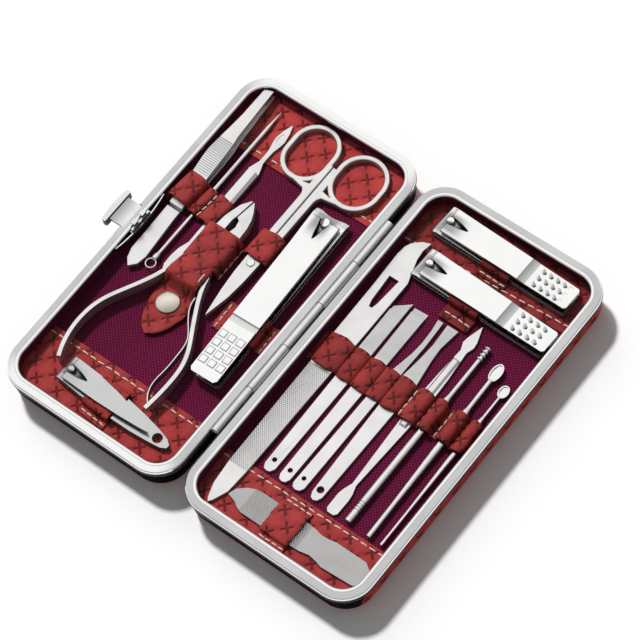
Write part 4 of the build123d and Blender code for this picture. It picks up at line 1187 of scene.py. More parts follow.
@dataclass(frozen=True)
class StitchRow:
    """A straight or bent row of sewn stitches.

    A stitch's length, the gap after it, its thread's radius and how far it may lie askew are
    in mm. Its arch, how far it sinks in, and its thread's size at the ends with what it gains
    towards the middle are shares of the radius.
    """

    path: tuple[Pair, ...]
    z: float
    length: float = 2.6
    gap: float = 1.2
    radius: float = 0.31
    askew: float = 0.12
    arch: float = 0.62
    sink: float = 0.42
    taper: Pair = (0.72, 0.28)
    steps: int = 6
    sides: int = 8

    def points(self) -> list[tuple[Vector, Vector]]:
        """The two ends of each stitch, in mm.

        Returns:
            The ends, a pair for each stitch.
        """
        ends = []
        for (x0, y0), (x1, y1) in zip(self.path, self.path[1:]):
            start = Vector((HINGE_X + x0, y0, self.z))
            run = Vector((HINGE_X + x1, y1, self.z)) - start
            pitch = self.length + self.gap
            count = max(1, round(run.length / pitch))
            step = run / count
            part = self.length / pitch
            for i in range(count):
                a = start + step * i
                ends.append((a, a + step * part))
        return ends

    def sew(self, bm: bmesh.types.BMesh) -> None:
        """Add the row's stitches to mesh data, each a short thread with its ends pulled down.

        Args:
            bm: The mesh data to add to.
        """
        rng = random.Random(round(self.path[0][0] * 31 + self.path[0][1] * 17))
        for a, b in self.points():
            run = b - a
            side = Vector((-run.y, run.x, 0)).normalized()
            skew = side * rng.uniform(-self.askew, self.askew)
            rings = []
            for k in range(self.steps + 1):
                t = k / self.steps
                middle = a.lerp(b, t) + skew * (t - 0.5) * 2
                bow = math.sin(math.pi * t)
                lift = self.arch * bow**0.45 - self.sink
                r = self.radius * (self.taper[0] + self.taper[1] * bow)
                ring = []
                for c, s in turn(self.sides):
                    up = Vector((0, 0, lift * self.radius + r * 0.8 * s))
                    ring.append((middle + side * r * c + up) * MM)
                rings.append(ring)
            skin_rings(bm, rings)


@dataclass
class Bench:
    """Where pieces are made, hung on their bodies and reported.

    Vertices nearer than weld_reach, in mm, are joined before edges are rounded, and only
    edges that turn by more than edge_angle, in degrees, are rounded.
    """

    nodes: dict = field(default_factory=dict)
    weld_reach: float = 0.002
    edge_segments: int = 2
    edge_angle: float = 32.0

    def finish_node(self, node: str, finish: Finish, edge: float = 0.0) -> None:
        """Give a CAD piece its finish, and round its sharp edges.

        Args:
            node: The CAD piece.
            finish: Its finish.
            edge: Width of the rounded edge in mm, or 0 to leave the edges alone.
        """
        piece = self.nodes[node]
        piece.data.materials.clear()
        piece.data.materials.append(finish.material())
        if edge:
            self.round_edges(piece, edge)
        LOG.info("%s: %s", node, finish.name)

    def round_edges(self, piece: bpy.types.Object, width: float) -> None:
        """Round a piece's sharp edges by a width in mm, and keep its flat faces flat.

        Args:
            piece: The piece.
            width: Width of the rounded edge, in mm.
        """
        weld = piece.modifiers.new("join_faces", "WELD")
        weld.merge_threshold = self.weld_reach * MM
        bevel = piece.modifiers.new("round_edges", "BEVEL")
        bevel.width = width * MM
        bevel.segments = self.edge_segments
        bevel.limit_method = "ANGLE"
        bevel.angle_limit = math.radians(self.edge_angle)
        bevel.use_clamp_overlap = True
        level = piece.modifiers.new("flat_faces", "WEIGHTED_NORMAL")
        level.mode = "FACE_AREA"
        level.weight = 100

    def add(
        self, name: str, mesh: bpy.types.Mesh, body: str, finish: Finish, slot: str = ""
    ) -> bpy.types.Object:
        """Put a new mesh on a body.

        Args:
            name: The piece's name.
            mesh: Its mesh, in metres and in place.
            body: The body it moves with.
            finish: Its finish.
            slot: The record's material slot, if it has one for this finish; not used.

        Returns:
            The piece.
        """
        piece = bpy.data.objects.new(name, mesh)
        bpy.context.scene.collection.objects.link(piece)
        piece.data.materials.append(finish.material())
        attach(piece, body)
        LOG.info("%s on %s, %d faces", name, body, len(mesh.polygons))
        return piece

    def lay_strip(
        self, name: str, mesh: bpy.types.Mesh, body: str, leather: Finish, node: str
    ) -> None:
        """Put a leather strip, with its raw cut edge, in a CAD piece's place.

        Args:
            name: The strip's name.
            mesh: Its mesh.
            body: The body it moves with.
            leather: Its finish.
            node: The CAD piece it stands for.
        """
        piece = self.add(name, mesh, body, leather, LEATHER_SLOT)
        piece.data.materials.append(SHOP.raw_edge.material())
        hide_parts(node)

    def sew(self, name: str, rows: Iterable[StitchRow], body: str) -> None:
        """Make one piece of rows of stitches.

        Args:
            name: The piece's name.
            rows: The rows.
            body: The body they move with.
        """
        bm = bmesh.new()
        for row in rows:
            row.sew(bm)
        self.add(name, to_mesh(name, bm), body, SHOP.thread)


# ------------------------------------------------------------------ straps
# A strip's softened edge as a share of half its thickness, and at most of its width.
EDGE_SHARE = 0.56
EDGE_MOST = 0.3
SECTION_STEPS = 8
# The sides of a strip's section that show its cut edge.
CUT_SIDES = (0, 1, 12, 13)


def strip_section(low: float, high: float, half: float) -> list[Pair]:
    """Cross-section of a leather strip with softened edges.

    Args:
        low: Its lower long edge, in mm across.
        high: Its upper long edge.
        half: Half its thickness.

    Returns:
        The closed section as (across, off the middle) points.
    """
    bevel = min(half * EDGE_SHARE, (high - low) * EDGE_MOST)
    inner = high - low - 2 * bevel
    across = [low + bevel + inner * k / SECTION_STEPS for k in range(1, SECTION_STEPS)]
    section = [(low + bevel, -half), (low, -half + bevel), (low, half - bevel), (low + bevel, half)]
    section += [(x, half) for x in across]
    section += [(high - bevel, half), (high, half - bevel)]
    section += [(high, -half + bevel), (high - bevel, -half)]
    section += [(x, -half) for x in reversed(across)]
    return section


@dataclass(frozen=True)
class Strap:
    """A leather strip sewn down between loops that arch over the tools.

    It runs along its frame over the stretch flat. A loop is where it starts and ends and how
    high it rises, and a seam is a row of stitches' place along and its height over the flat
    part. A seam's stitch is its length, gap and radius. All are in mm. A loop is squarer the
    higher square is, and its foot is how far it stands off and how high it lies, as shares of
    the thickness and of half of it.
    """

    node: str
    body: str
    frame: LevelFrame
    width: float
    flat: Pair
    loops: tuple[Triple, ...]
    seams: tuple[Pair, ...] = ()
    thick: float = 0.8
    square: float = 4.5
    wave: float = 0.3
    crown: float = 0.22
    scallop: float = 0.0
    leather: Finish = SHOP.strap
    title: str = ""
    foot: Pair = (1.15, 1.02)
    arc_steps: int = 24
    step: float = 0.28
    grain: Pair = (0.07, 420.0)
    stitch: Triple = (2.4, 0.7, 0.3)
    seam_inset: float = 0.5
    seam_lift: float = 0.02

    @property
    def name(self) -> str:
        """The piece's name."""
        return self.title or f"{self.node}_leather"

    def line(self) -> list[Pair]:
        """The strip's middle line as (along, height) points.

        Returns:
            The points, in mm.
        """
        half = self.thick / 2
        foot, foot_z = self.thick * self.foot[0], half * self.foot[1]
        power = 2 / self.square
        points = [(self.flat[0], half)]
        for start, end, height in self.loops:
            middle = (start + end) / 2
            reach = (end - start) / 2 + half
            points.append((start - foot, foot_z))
            for k in range(self.arc_steps + 1):
                w = math.pi * (1 - k / self.arc_steps)
                c, s = math.cos(w), math.sin(w)
                x = middle + reach * math.copysign(abs(c) ** power, c)
                crown = self.crown * (1 - ((x - middle) / reach) ** 2)
                points.append((x, half + (height + crown) * abs(s) ** power))
            points.append((end + foot, foot_z))
        points.append((self.flat[1], half))
        return self.forward_only(points)

    @staticmethod
    def forward_only(points: list[Pair]) -> list[Pair]:
        """The points without those that run back or stand still.

        Args:
            points: Points as (along, height), in mm.

        Returns:
            The points that are left.
        """
        least_run, least_rise = 1e-4, 0.05
        clean = [points[0]]
        for x, z in points[1:]:
            next_x = clean[-1][0] + least_run
            if x > next_x or abs(z - clean[-1][1]) > least_rise:
                clean.append((max(x, next_x), z))
        return clean

    def even_line(self) -> list[Pair]:
        """The middle line again with evenly spaced points.

        Returns:
            The points, in mm.
        """
        raw = self.line()
        even = [raw[0]]
        left = self.step
        for (x0, z0), (x1, z1) in zip(raw, raw[1:]):
            run = math.hypot(x1 - x0, z1 - z0)
            done = 0.0
            while run - done >= left:
                done += left
                t = done / run
                even.append((x0 + (x1 - x0) * t, z0 + (z1 - z0) * t))
                left = self.step
            left -= run - done
        even.append(raw[-1])
        return even

    def edge_shift(self, along: float, side: int) -> float:
        """How far the long edge wanders at a place along the strip, in mm.

        Args:
            along: Place along the strip, in mm.
            side: 1 for the upper edge, -1 for the lower.

        Returns:
            The shift.
        """
        slow = noise.noise(Vector((along * 0.23, 11.0 * side, self.frame.y * 0.37)))
        fast = noise.noise(Vector((along * 1.1, 31.0 * side, self.frame.x * 0.17)))
        shift = self.wave * slow * 1.6 + self.wave * 0.25 * fast
        for start, end, _ in self.loops:
            t = (along - start) / (end - start)
            if 0 < t < 1:
                shift += self.scallop * math.sin(math.pi * t)
        return shift

    def build(self) -> bpy.types.Mesh:
        """Make the strip's mesh.

        Returns:
            The mesh.
        """
        line = self.even_line()
        last = len(line) - 1
        top = self.width / 2
        depth, scale = self.grain
        rings = []
        for i, (x, z) in enumerate(line):
            x0, z0 = line[max(0, i - 1)]
            x1, z1 = line[min(last, i + 1)]
            run = math.hypot(x1 - x0, z1 - z0) or 1.0
            nx, nz = -(z1 - z0) / run, (x1 - x0) / run
            high = top + self.edge_shift(x, 1)
            low = -top - self.edge_shift(x, -1)
            ring = []
            for across, off in strip_section(low, high, self.thick / 2):
                spot = self.frame.at(x + nx * off, across, z + nz * off)
                if off > 0:
                    spot += Vector((0, 0, nz)) * MM * depth * noise.noise(spot * scale)
                ring.append(spot)
            rings.append(ring)
        bm = bmesh.new()
        skin_rings(bm, rings, CUT_SIDES)
        return to_mesh(self.name, bm)

    def cross_seam(self, at: float, lift: float) -> StitchRow:
        """A row of stitches across the strip.

        Args:
            at: The row's place along the strip, in mm.
            lift: How far the row lies above the strip's flat part, in mm.

        Returns:
            The row.
        """
        reach = self.width / 2 - self.seam_inset
        ends = [self.frame.at(at, s * reach, 0) / MM for s in (-1, 1)]
        path = tuple((p.x - HINGE_X, p.y) for p in ends)
        return StitchRow(path, self.frame.z + self.thick + self.seam_lift + lift, *self.stitch)

    def make(self, bench: Bench) -> None:
        """Build the strip and its seams, hang them and hide the CAD piece they stand for.

        Args:
            bench: Where pieces are made.
        """
        bench.lay_strip(self.name, self.build(), self.body, self.leather, self.node)
        if self.seams:
            rows = (self.cross_seam(at, lift) for at, lift in self.seams)
            bench.sew(f"{self.name}_seams", rows, self.body)


def straps() -> tuple[Strap, ...]:
    """Every sewn strap.

    Returns:
        The straps.
    """
    # How far the base's tools lie over the cloth, and how high the lid's blades reach.
    lift = 0.65
    slim = 1.55
    snug = {"thick": 0.7, "square": 7.0, "crown": 0.04, "wave": 0.2}
    tool_loops = ((-0.35, 8.2, 5.6), (9.1, 12.4, lift + 2.3), (14.6, 21.1, lift + 2.8))
    blade_loops = (
        (8.8, 19.4, lift + 1.55), (19.7, 26.0, slim), (26.9, 32.9, slim), (33.8, 39.5, slim),
        (39.6, 46.7, slim + 0.3), (49.2, 55.0, 2.3), (57.3, 61.4, 3.4), (65.5, 69.9, 3.6),
        (72.1, 76.1, 3.0),
    )
    return (
        Strap(
            "base_tool_strap", BASE, from_hinge(-75.5, 22.3, heading=-5.0), 12.4, (-2.0, 22.0),
            tool_loops, ((-1.3, 0.1), (8.75, 2.0), (13.5, 2.1)),
        ),
        Strap(
            "scissors_strap", BASE, from_hinge(-38.9, 19.3), 12.2, (-0.55, 11.3),
            ((0.5, 10.2, lift + 2.7),), ((-0.3, 0.6),),
        ),
        Strap(
            "lid_tool_strap", LID, from_hinge(-0.6, -0.2), 13.0, (6.4, 77.6), blade_loops,
            ((48.0, 0.2), (56.2, 0.2), (63.5, 0.0), (71.0, 0.2)), square=3.2, crown=0.4,
            scallop=0.4, leather=SHOP.lid_strap,
        ),
        Strap(
            "plate_file_strap", LID, from_hinge(40.8, -62.7, BAND_Z, 90), 12.4, (-9.6, 8.6),
            ((-6.2, 6.2, 1.25),), ((-8.2, 0.0), (7.9, 0.0)),
        ),
        Strap(
            "large_clipper_strap", BASE, from_hinge(-18.61, -10.07, heading=1.9), 12.2,
            (-12.0, 11.0), ((-6.9, 6.9, 3.3),), ((-10.7, 0.0), (9.3, 0.0)), **snug,
        ),
        Strap(
            "small_clipper_loop", BASE, from_hinge(-42.05, -61.49, BAND_Z, 86.2), 12.8,
            (-9.6, 7.6), ((-5.9, 5.9, 3.25),), ((-8.1, 0.0),), **snug,
        ),
        Strap(
            "clipper_a_loop", LID, from_hinge(42.19, 64.18, BAND_Z, 88.4), 12.8, (-9.4, 7.4),
            ((-6.3, 6.3, 3.35),), ((-8.3, 0.0),), leather=SHOP.deep_strap, **snug,
        ),
        Strap(
            "clipper_b_loop", LID, from_hinge(41.79, 46.01, BAND_Z, 88.4), 12.8, (-12.8, 7.1),
            ((-6.4, 6.4, 3.6),), ((-10.2, 0.0),), leather=SHOP.deep_strap, **snug,
        ),
        Strap(
            "nipper_strap_loop", BASE, from_hinge(-48.25, 7.6), 16.0, (-7.9, 8.6),
            ((-7.0, 7.0, 6.05),), ((8.1, 0.0),), 0.9, 6.0, wave=0.0, crown=0.0,
            title="nipper_loop_leather",
        ),
    )


@dataclass(frozen=True)
class NipperFlap:
    """Free end of the nipper's strap: flat over the handles, down, then flat to its point.

    It starts by lapping over the sewn loop's edge and follows the loop's arch there. Its two
    long edges are points of (along, across), its seam is the row's place across, its start
    and its end, and all sizes are in mm.
    """

    name: str = "nipper_flap_leather"
    axis_x: float = -48.25
    loop_edge: float = -0.4
    loop_rise: float = 6.05
    loop_reach: float = 7.45
    cover: float = 0.07
    flatten: float = 6.0
    loosen: float = 3.0
    high: float = 13.5
    low: float = 8.2
    drop: Pair = (-9.2, -13.4)
    thick: float = 0.9
    ripple: float = 0.12
    sag: float = 0.1
    steps: int = 110
    probe: float = 0.05
    seam: Triple = (5.6, -3.4, -9.0)
    seam_lift: float = 0.04
    right: tuple[Pair, ...] = (
        (0.5, 6.9), (-10.0, 7.0), (-13.2, 7.1), (-16.5, 8.2), (-20.5, 8.1), (-26.3, 6.2),
        (-29.6, 4.3), (-31.4, 2.4), (-32.4, 0.8), (-32.6, 0.3),
    )
    left: tuple[Pair, ...] = (
        (0.5, -6.9), (-3.0, -7.3), (-11.0, -7.9), (-16.3, -8.2), (-21.3, -7.7), (-26.3, -6.0),
        (-29.6, -4.2), (-31.4, -2.6), (-32.4, -0.9), (-32.6, -0.3),
    )

    @staticmethod
    def edge(points: tuple[Pair, ...], y: float) -> float:
        """One long edge's place across at a place along, in mm.

        Args:
            points: The edge's points.
            y: Place along, in mm.

        Returns:
            The place across.
        """
        for (y0, x0), (y1, x1) in zip(points, points[1:]):
            if y >= y1:
                t = (y - y0) / (y1 - y0)
                return x0 + (x1 - x0) * max(0.0, t)
        return points[-1][1]

    def height(self, y: float) -> float:
        """Height of the strap's middle at a place along, in mm."""
        top, foot = self.drop
        return self.high + (self.low - self.high) * eased((top - y) / (top - foot))

    def arch(self, x: float, y: float) -> float:
        """How far the flap hangs below its middle as it carries on the loop's arch, in mm.

        Args:
            x: Place across, from the hinge line, in mm.
            y: Place along, in mm.

        Returns:
            The distance.
        """
        c = min(1.0, (abs(x - self.axis_x) / self.loop_reach) ** 3)
        hang = self.loop_rise * (1 - (1 - c * c) ** (1 / 6))
        t = within((self.loop_edge - y) / self.flatten)
        return hang * (1 - eased(t)) - self.cover * (1 - t)

    def build(self) -> bpy.types.Mesh:
        """Make the flap's mesh.

        Returns:
            The mesh.
        """
        start_y, end_y = self.left[0][0], self.left[-1][0]
        rings = []
        for i in range(self.steps + 1):
            y = start_y + (end_y - start_y) * i / self.steps
            slope = (self.height(y - self.probe) - self.height(y + self.probe)) / (2 * self.probe)
            run = math.hypot(1.0, slope)
            ny, nz = slope / run, 1 / run
            ripples = (noise.noise(Vector((y * 0.4, seed, 0))) for seed in (1.0, 9.0))
            x0, x1 = (
                self.axis_x + self.edge(side, y) + self.ripple * ripple
                for side, ripple in zip((self.left, self.right), ripples)
            )
            loose = within((self.loop_edge - y) / self.loosen)
            ring = []
            for x, off in strip_section(x0, x1, self.thick / 2):
                wave = self.sag * loose * noise.noise(Vector((x * 0.25, y * 0.25, 5.0)))
                up = self.height(y) + nz * off + (wave - self.arch(x, y))
                ring.append(Vector((HINGE_X + x, y + ny * off, up)) * MM)
            rings.append(ring)
        bm = bmesh.new()
        skin_rings(bm, rings, CUT_SIDES)
        return to_mesh(self.name, bm)

    def make(self, bench: Bench) -> None:
        """Build the flap and its row of stitches, and hang them on the flap's body.

        Args:
            bench: Where pieces are made.
        """
        bench.lay_strip(self.name, self.build(), FLAP, SHOP.strap, "nipper_strap_flap")
        across, start, end = self.seam
        x = self.axis_x + across
        row = StitchRow(((x, start), (x, end)), self.high + self.thick / 2 + self.seam_lift)
        bench.sew("nipper_flap_stitches", (row,), FLAP)


@dataclass(frozen=True)
class SnapCap:
    """Domed cap of the press stud; its rolled rim is points of (inset, height), in mm."""

    name: str = "snap_cap_dome"
    z: float = 8.65
    radius: float = 4.65
    rise: float = 1.25
    rolled_rim: tuple[Pair, ...] = ((0.5, -0.1), (0.1, 0.0), (0.0, 0.3), (0.12, 0.52), (0.35, 0.6))
    dome_steps: int = 12
    sides: int = 48
    bulge: float = 2.2
    tip: float = 0.02

    def build(self) -> bpy.types.Mesh:
        """Turn the cap's profile round its axis.

        Returns:
            The mesh.
        """
        profile = [(self.radius - inset, z) for inset, z in self.rolled_rim]
        foot_r, foot_z = profile[-1]
        for k in range(1, self.dome_steps + 1):
            part = 1 - k / self.dome_steps
            z = foot_z + (self.rise - foot_z) * (1 - part**self.bulge)
            profile.append((max(foot_r * part, self.tip), z))
        frame = from_hinge(*STUD, self.z)
        rings = [[frame.at(r * c, r * s, z) for c, s in turn(self.sides)] for r, z in profile]
        bm = bmesh.new()
        skin_rings(bm, rings)
        return to_mesh(self.name, bm)

    def make(self, bench: Bench) -> None:
        """Build the cap and hang it on the flap's body."""
        piece = bench.add(self.name, self.build(), FLAP, SHOP.brass, CAP_SLOT)
        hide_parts("snap_cap")


# ------------------------------------------------------------------ the case
@dataclass(frozen=True)
class CaseHalf:
    """One half of the case: shell, frame, lining and the two end bands with their seams."""

    prefix: str
    cover: Finish
    head_band: Finish
    seams: tuple[tuple[Pair, Pair], ...]
    band_edge: float = 0.2
    thread_z: float = BAND_Z + 0.05

    def build(self, bench: Bench) -> None:
        """Dress the half's CAD pieces and sew its bands.

        Args:
            bench: Where pieces are made.
        """
        bench.finish_node(f"{self.prefix}_shell", self.cover)
        bench.finish_node(f"{self.prefix}_rim", SHOP.rim)
        bench.finish_node(f"{self.prefix}_lining", SHOP.lining)
        bench.finish_node(f"{self.prefix}_head_band", self.head_band, self.band_edge)
        bench.finish_node(f"{self.prefix}_foot_band", SHOP.foot_band, self.band_edge)
        rows = (StitchRow(path, self.thread_z) for path in self.seams)
        bench.sew(f"{self.prefix}_band_stitches", rows, f"{self.prefix}_half")


def halves() -> tuple[CaseHalf, CaseHalf]:
    """The two halves.

    Returns:
        The base half and the lid half.
    """
    base_seams = (((-78.0, 50.2), (-5.8, 50.2)), ((-78.0, -50.9), (-5.8, -50.9)))
    lid_seams = (((5.6, 52.2), (78.0, 56.0)), ((5.6, -53.4), (78.0, -52.5)))
    return (
        CaseHalf("base", SHOP.base_cover, SHOP.leather, base_seams),
        CaseHalf("lid", SHOP.lid_cover, SHOP.shaded_band, lid_seams),
    )


@dataclass(frozen=True)
class Fittings:
    """Hinge and latch."""

    edge: float = 0.12
    button_edge: float = 0.24

    def build(self, bench: Bench) -> None:
        """Dress the hinge and the latch.

        Args:
            bench: Where pieces are made.
        """
        for node in ("base_hinge_leaf", "lid_hinge_leaf", "hinge_pin"):
            bench.finish_node(node, SHOP.hinge, self.edge)
        bench.finish_node("latch_button", SHOP.latch, self.button_edge)
        bench.finish_node("latch_spring", SHOP.latch, self.edge)


@dataclass(frozen=True)
class Tools:
    """Every tool but the nail clippers, dressed by finish."""

    satin_long: tuple[str, ...] = (
        "spear_spatula", "spear_pusher", "scissors_blade_fixed", "scissors_blade_moving",
        "tweezers_lower_arm",
    )
    blades: tuple[str, ...] = ("slant_knife", "chisel_knife", "serrated_knife", "flat_pusher")
    forged: tuple[str, ...] = ("nipper_half_left", "nipper_half_right")
    bright: tuple[str, ...] = (
        "comedone_needle", "ring_pick", "large_spoon", "small_spoon", "nipper_pivot",
        "nipper_spring", "scissors_screw",
    )
    edge: float = 0.14
    forged_edge: float = 0.55

    def build(self, bench: Bench) -> None:
        """Dress every tool.

        Args:
            bench: Where pieces are made.
        """
        groups = (
            (SHOP.satin_y, self.edge, self.satin_long),
            (SHOP.blade, self.edge, self.blades),
            (SHOP.forged, self.forged_edge, self.forged),
            (SHOP.bright, self.edge, self.bright),
            (SHOP.ribbed, self.edge, ("tweezers_upper_arm",)),
            (SHOP.file_cut, self.edge, ("nail_file_trimmer",)),
            (SHOP.plate_cut, self.edge, ("plate_file",)),
        )
        for finish, edge, nodes in groups:
            for node in nodes:
                bench.finish_node(node, finish, edge)


@dataclass(frozen=True)
class GripFins:
    """Raised fins in rows of three, each a leaning cone, steep on the side away from the tail.

    A fin's levels are (height, size, lean). The size is a share of its two radii, and it leans
    across the lever and, by the share back, along it. Its radii and its shift are in mm.
    """

    first: float
    pitch: float
    count: int
    top: float = 13.06
    spacing: float = 3.1
    radii: Pair = (0.9, 0.75)
    back: float = 0.8
    shift: Pair = (0.4, 0.45)
    levels: tuple[Triple, ...] = (
        (-0.2, 1.15, 0.0), (0.1, 1.0, 0.1), (0.45, 0.62, 0.6), (0.8, 0.14, 1.25),
    )
    sides: int = 14

    def build(self, name: str, frame: LevelFrame) -> bpy.types.Mesh:
        """Make every fin.

        Args:
            name: The mesh's name.
            frame: The frame that the fins stand on.

        Returns:
            The mesh.
        """
        bm = bmesh.new()
        for i in range(self.count):
            for j in (-1, 0, 1):
                self.add_fin(bm, frame, self.first + self.pitch * i, self.spacing * j)
        return to_mesh(name, bm)

    def add_fin(self, bm: bmesh.types.BMesh, frame: LevelFrame, u: float, v: float) -> None:
        """Add the fin at one place.

        Args:
            bm: The mesh data to add to.
            frame: The frame it stands on.
            u: Its place along the lever, in mm.
            v: Its place across, in mm.
        """
        rings = []
        for level, size, lean in self.levels:
            ring = []
            for c, s in turn(self.sides):
                along = self.radii[0] * size * c - lean * self.back
                across = self.radii[1] * size * s + lean
                ring.append(frame.at(u + along + self.shift[0], v + across - self.shift[1], level))
            rings.append(ring)
        skin_rings(bm, rings)


@dataclass(frozen=True)
class NailClipper:
    """One folded nail clipper: mirror leaves, fork well, ramp, and its grip pattern.

    It is placed by its cutting edge and heading, and its post stands at post_u from there.
    The fork's well in the leaf and its mouth in the lever are (start, end, half width) from
    the post, the lip's two lines of painted shade are ramps, and leaf_tops are over the foot.
    The well, the mouth, the ramps, the shoulder beside the well and the post's dark half are
    painted shade. All in mm.
    """

    name: str
    lever_body: str
    x: float
    y: float
    heading: float
    post_u: float
    foot: float = 7.65
    colour: Colour = (0.93, 0.93, 0.92)
    gloss: float = 0.05
    ramps: tuple[Triple, ...] = ()
    squares: tuple[float, float, float, float] | None = None
    fins: GripFins | None = None
    shoulder: float = 0.6
    well: Triple = (-2.6, 8.6, 2.6)
    mouth: Triple = (-2.2, 8.3, 2.1)
    lip: tuple[Triple, ...] = ((0.2, 1.3, 0.5), (2.2, 3.2, 0.35))
    leaf_tops: Pair = (0.45, 2.75)
    edge: float = 0.22

    def steel(self, part: str, **places: tuple | float | None) -> Finish:
        """The steel of one part.

        Args:
            part: The part, as it ends the node's name.
            **places: Its places of painted shade, as ClipperSteel has them.

        Returns:
            The finish.
        """
        return ClipperSteel(
            f"{self.name}_{part}_steel", self.colour, self.gloss, 0.05, mottle=0.04,
            wall_painted_shade=0.7, line_depth=1.2, start=(self.x, self.y), heading=self.heading,
            shoulder=self.shoulder, **places,
        )

    def from_post(self, place: Triple) -> tuple[Triple]:
        """A well placed from the post, placed from the cutting edge instead."""
        start, end, half = place
        return ((self.post_u + start, self.post_u + end, half),)

    def build(self, bench: Bench) -> None:
        """Dress the clipper's parts and add its grip fins.

        Args:
            bench: Where pieces are made.
        """
        corners = tuple(self.foot + top for top in self.leaf_tops)
        jaws = self.steel("jaws", wells=self.from_post(self.well), ramps=self.lip, corners=corners)
        lever = self.steel(
            "lever", wells=self.from_post(self.mouth), ramps=self.ramps, squares=self.squares,
        )
        post = self.steel("post", knob=self.post_u)
        for part, finish in (("jaws", jaws), ("lever", lever), ("post", post)):
            bench.finish_node(f"{self.name}_{part}", finish, self.edge)
        if self.fins:
            name = f"{self.name}_fins"
            frame = from_hinge(self.x, self.y, self.fins.top, self.heading)
            bench.add(name, self.fins.build(name, frame), self.lever_body, SHOP.fins)


def clippers() -> tuple[NailClipper, ...]:
    """The four nail clippers.

    Returns:
        The clippers.
    """
    return (
        NailClipper(
            "clipper_a", "lever_a", 12.9, 65.0, -1.6, 4.4, ramps=((38.6, 42.1, 0.72),),
            fins=GripFins(45.0, 3.1, 4),
        ),
        NailClipper(
            "clipper_b", "lever_b", 17.2, 46.7, -1.6, 4.4, ramps=((38.4, 42.0, 0.72),),
            fins=GripFins(44.9, 3.3, 4),
        ),
        NailClipper(
            "large_clipper", "large_lever", -20.4, 43.9, -88.1, 5.2, 7.05,
            ramps=((53.2, 53.9, 0.9), (53.9, 56.3, 0.3)), squares=(61.8, 4.0, 3.9, 1.4),
        ),
        NailClipper(
            "small_clipper", "small_lever", -63.0, -60.1, -3.8, 3.9, colour=grey(0.62),
            gloss=0.16, shoulder=0.15,
        ),
    )


# ------------------------------------------------------------------ the stage
@dataclass(frozen=True)
class Lamp:
    """One soft, far lamp: which way its light goes, its strength and its angle in degrees."""

    name: str
    travel: Triple
    strength: float
    spread: float

    def build(self) -> None:
        """Make the lamp, left out of reflections."""
        data = bpy.data.lights.new(self.name, "SUN")
        data.energy = self.strength
        data.angle = math.radians(self.spread)
        lamp = bpy.data.objects.new(self.name, data)
        lamp.visible_glossy = False
        lamp.rotation_mode = "QUATERNION"
        lamp.rotation_quaternion = Vector(self.travel).to_track_quat("-Z", "Y")
        bpy.context.scene.collection.objects.link(lamp)


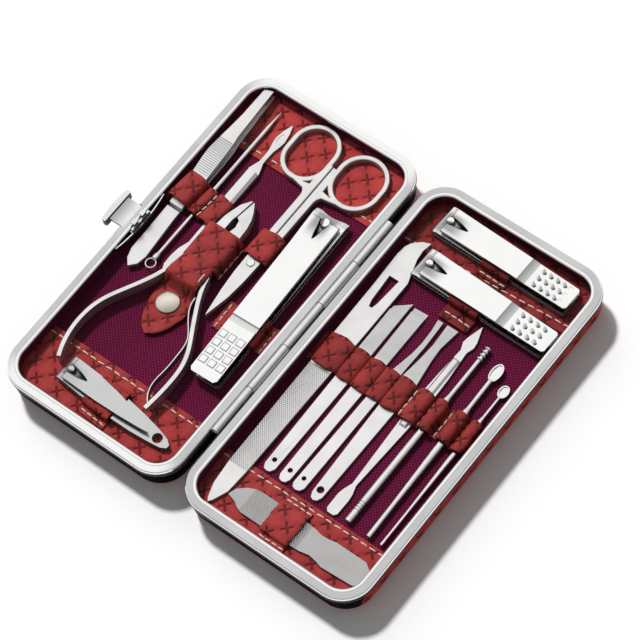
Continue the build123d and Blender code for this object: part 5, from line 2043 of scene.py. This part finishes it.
@dataclass(frozen=True)
class Stage:
    """Pale floor, soft light and the camera.

    The camera's place is in mm, its clip distances and the floor's half size in metres. The
    room that gloss mirrors brightens by room_stops towards room_bright.
    """

    camera_at: Triple = (492.735, -351.28, 1045.909)
    right: Triple = (0.7794, 0.6138, -0.1255)
    down: Triple = (0.4989, -0.7292, -0.4684)
    forward: Triple = (-0.379, 0.3025, -0.8746)
    lens: float = 185.93
    sensor: float = 36.0
    clip: Pair = (0.01, 20.0)
    lamps: tuple[Lamp, ...] = (
        Lamp("window_light", (0.554, -0.259, -0.788), 2.95, 7.0),
        Lamp("side_light", (0.74, -0.4, -0.54), 0.55, 30.0),
    )
    sky_level: float = 0.2
    room_bright: Triple = (-0.379, 0.3025, 0.8746)
    room_stops: tuple[Pair, ...] = (
        (0.0, 0.35), (0.5, 0.42), (0.65, 0.5), (0.8, 0.64), (0.9, 0.83), (0.96, 0.95),
        (0.992, 1.04),
    )
    floor_half: float = 3.0
    floor_drop: float = 0.2

    def camera(self) -> None:
        """Make the camera."""
        data = bpy.data.cameras.new("camera")
        data.lens = self.lens
        data.sensor_width = self.sensor
        data.clip_start, data.clip_end = self.clip
        camera = bpy.data.objects.new("camera", data)
        columns = (self.right, [-c for c in self.down], [-c for c in self.forward])
        turned = Matrix(columns).transposed().to_4x4()
        camera.matrix_world = Matrix.Translation(Vector(self.camera_at) * MM) @ turned
        bpy.context.scene.collection.objects.link(camera)
        bpy.context.scene.camera = camera

    def sky(self) -> None:
        """Make the world: even light, a white backdrop, and for gloss a room with a dark side."""
        world = bpy.data.worlds.new("room")
        bpy.context.scene.world = world
        graph = Graph(world, "World")
        seen = graph.node("ShaderNodeLightPath", {}, {}, "Is Camera Ray")
        glossy = Sock(graph, seen.socket.node.outputs["Is Glossy Ray"])
        x, y, z = graph.axes(graph.node("ShaderNodeTexCoord", {}, {}, "Generated"))
        bx, by, bz = self.room_bright
        toward = (x * bx + y * by + z * bz) * 0.5 + 0.5
        stops = [(at, grey(level)) for at, level in self.room_stops]
        room = graph.node("ShaderNodeValToRGB", {"stops": stops}, {"Fac": toward}, "Color")
        low = z.clear(0.34, 0.12) * z.clear(-0.3, -0.05)
        front = (x * 0.78 - y * 0.62).clear(-0.1, 0.5)
        room = graph.mix(low * front * 0.85, room, grey(0.03))
        colour = graph.layered(grey(self.sky_level), (glossy, room), (seen, grey(1.0)))
        graph.end_with(graph.node("ShaderNodeBackground", {}, {"Color": colour, "Strength": 1.0}))

    def floor(self) -> None:
        """Make the floor, which takes the case's shadow."""
        bm = bmesh.new()
        bmesh.ops.create_grid(bm, x_segments=2, y_segments=2, size=self.floor_half)
        mesh = to_mesh("floor", bm, False)
        floor = bpy.data.objects.new("floor", mesh)
        floor.location.z = -self.floor_drop * MM
        bpy.context.scene.collection.objects.link(floor)
        material = bpy.data.materials.new("pale_floor")
        graph = Graph(material)
        speck = graph.noise(graph.place(), 0.02)
        graph.surface(
            Base_Color=graph.mix(speck, grey(0.94), grey(0.96)),
            Roughness=0.9,
            Specular_IOR_Level=0.0,
            Emission_Color=grey(1.0),
            Emission_Strength=0.03,
        )
        mesh.materials.append(material)

    def build(self) -> None:
        """Make the whole stage."""
        bpy.context.scene.view_settings.view_transform = "Standard"
        self.camera()
        for lamp in self.lamps:
            lamp.build()
        self.sky()
        self.floor()


def main() -> None:
    """Build the scene in order."""
    logging.basicConfig(level=logging.INFO, format="%(message)s")
    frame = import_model()
    bench = Bench(dict(frame["nodes"]))
    Stage().build()
    for assembly in (*halves(), Fittings(), Tools(), *clippers()):
        assembly.build(bench)
    for sewn in (*straps(), NipperFlap(), SnapCap()):
        sewn.make(bench)


if __name__ == "__main__":
    main()
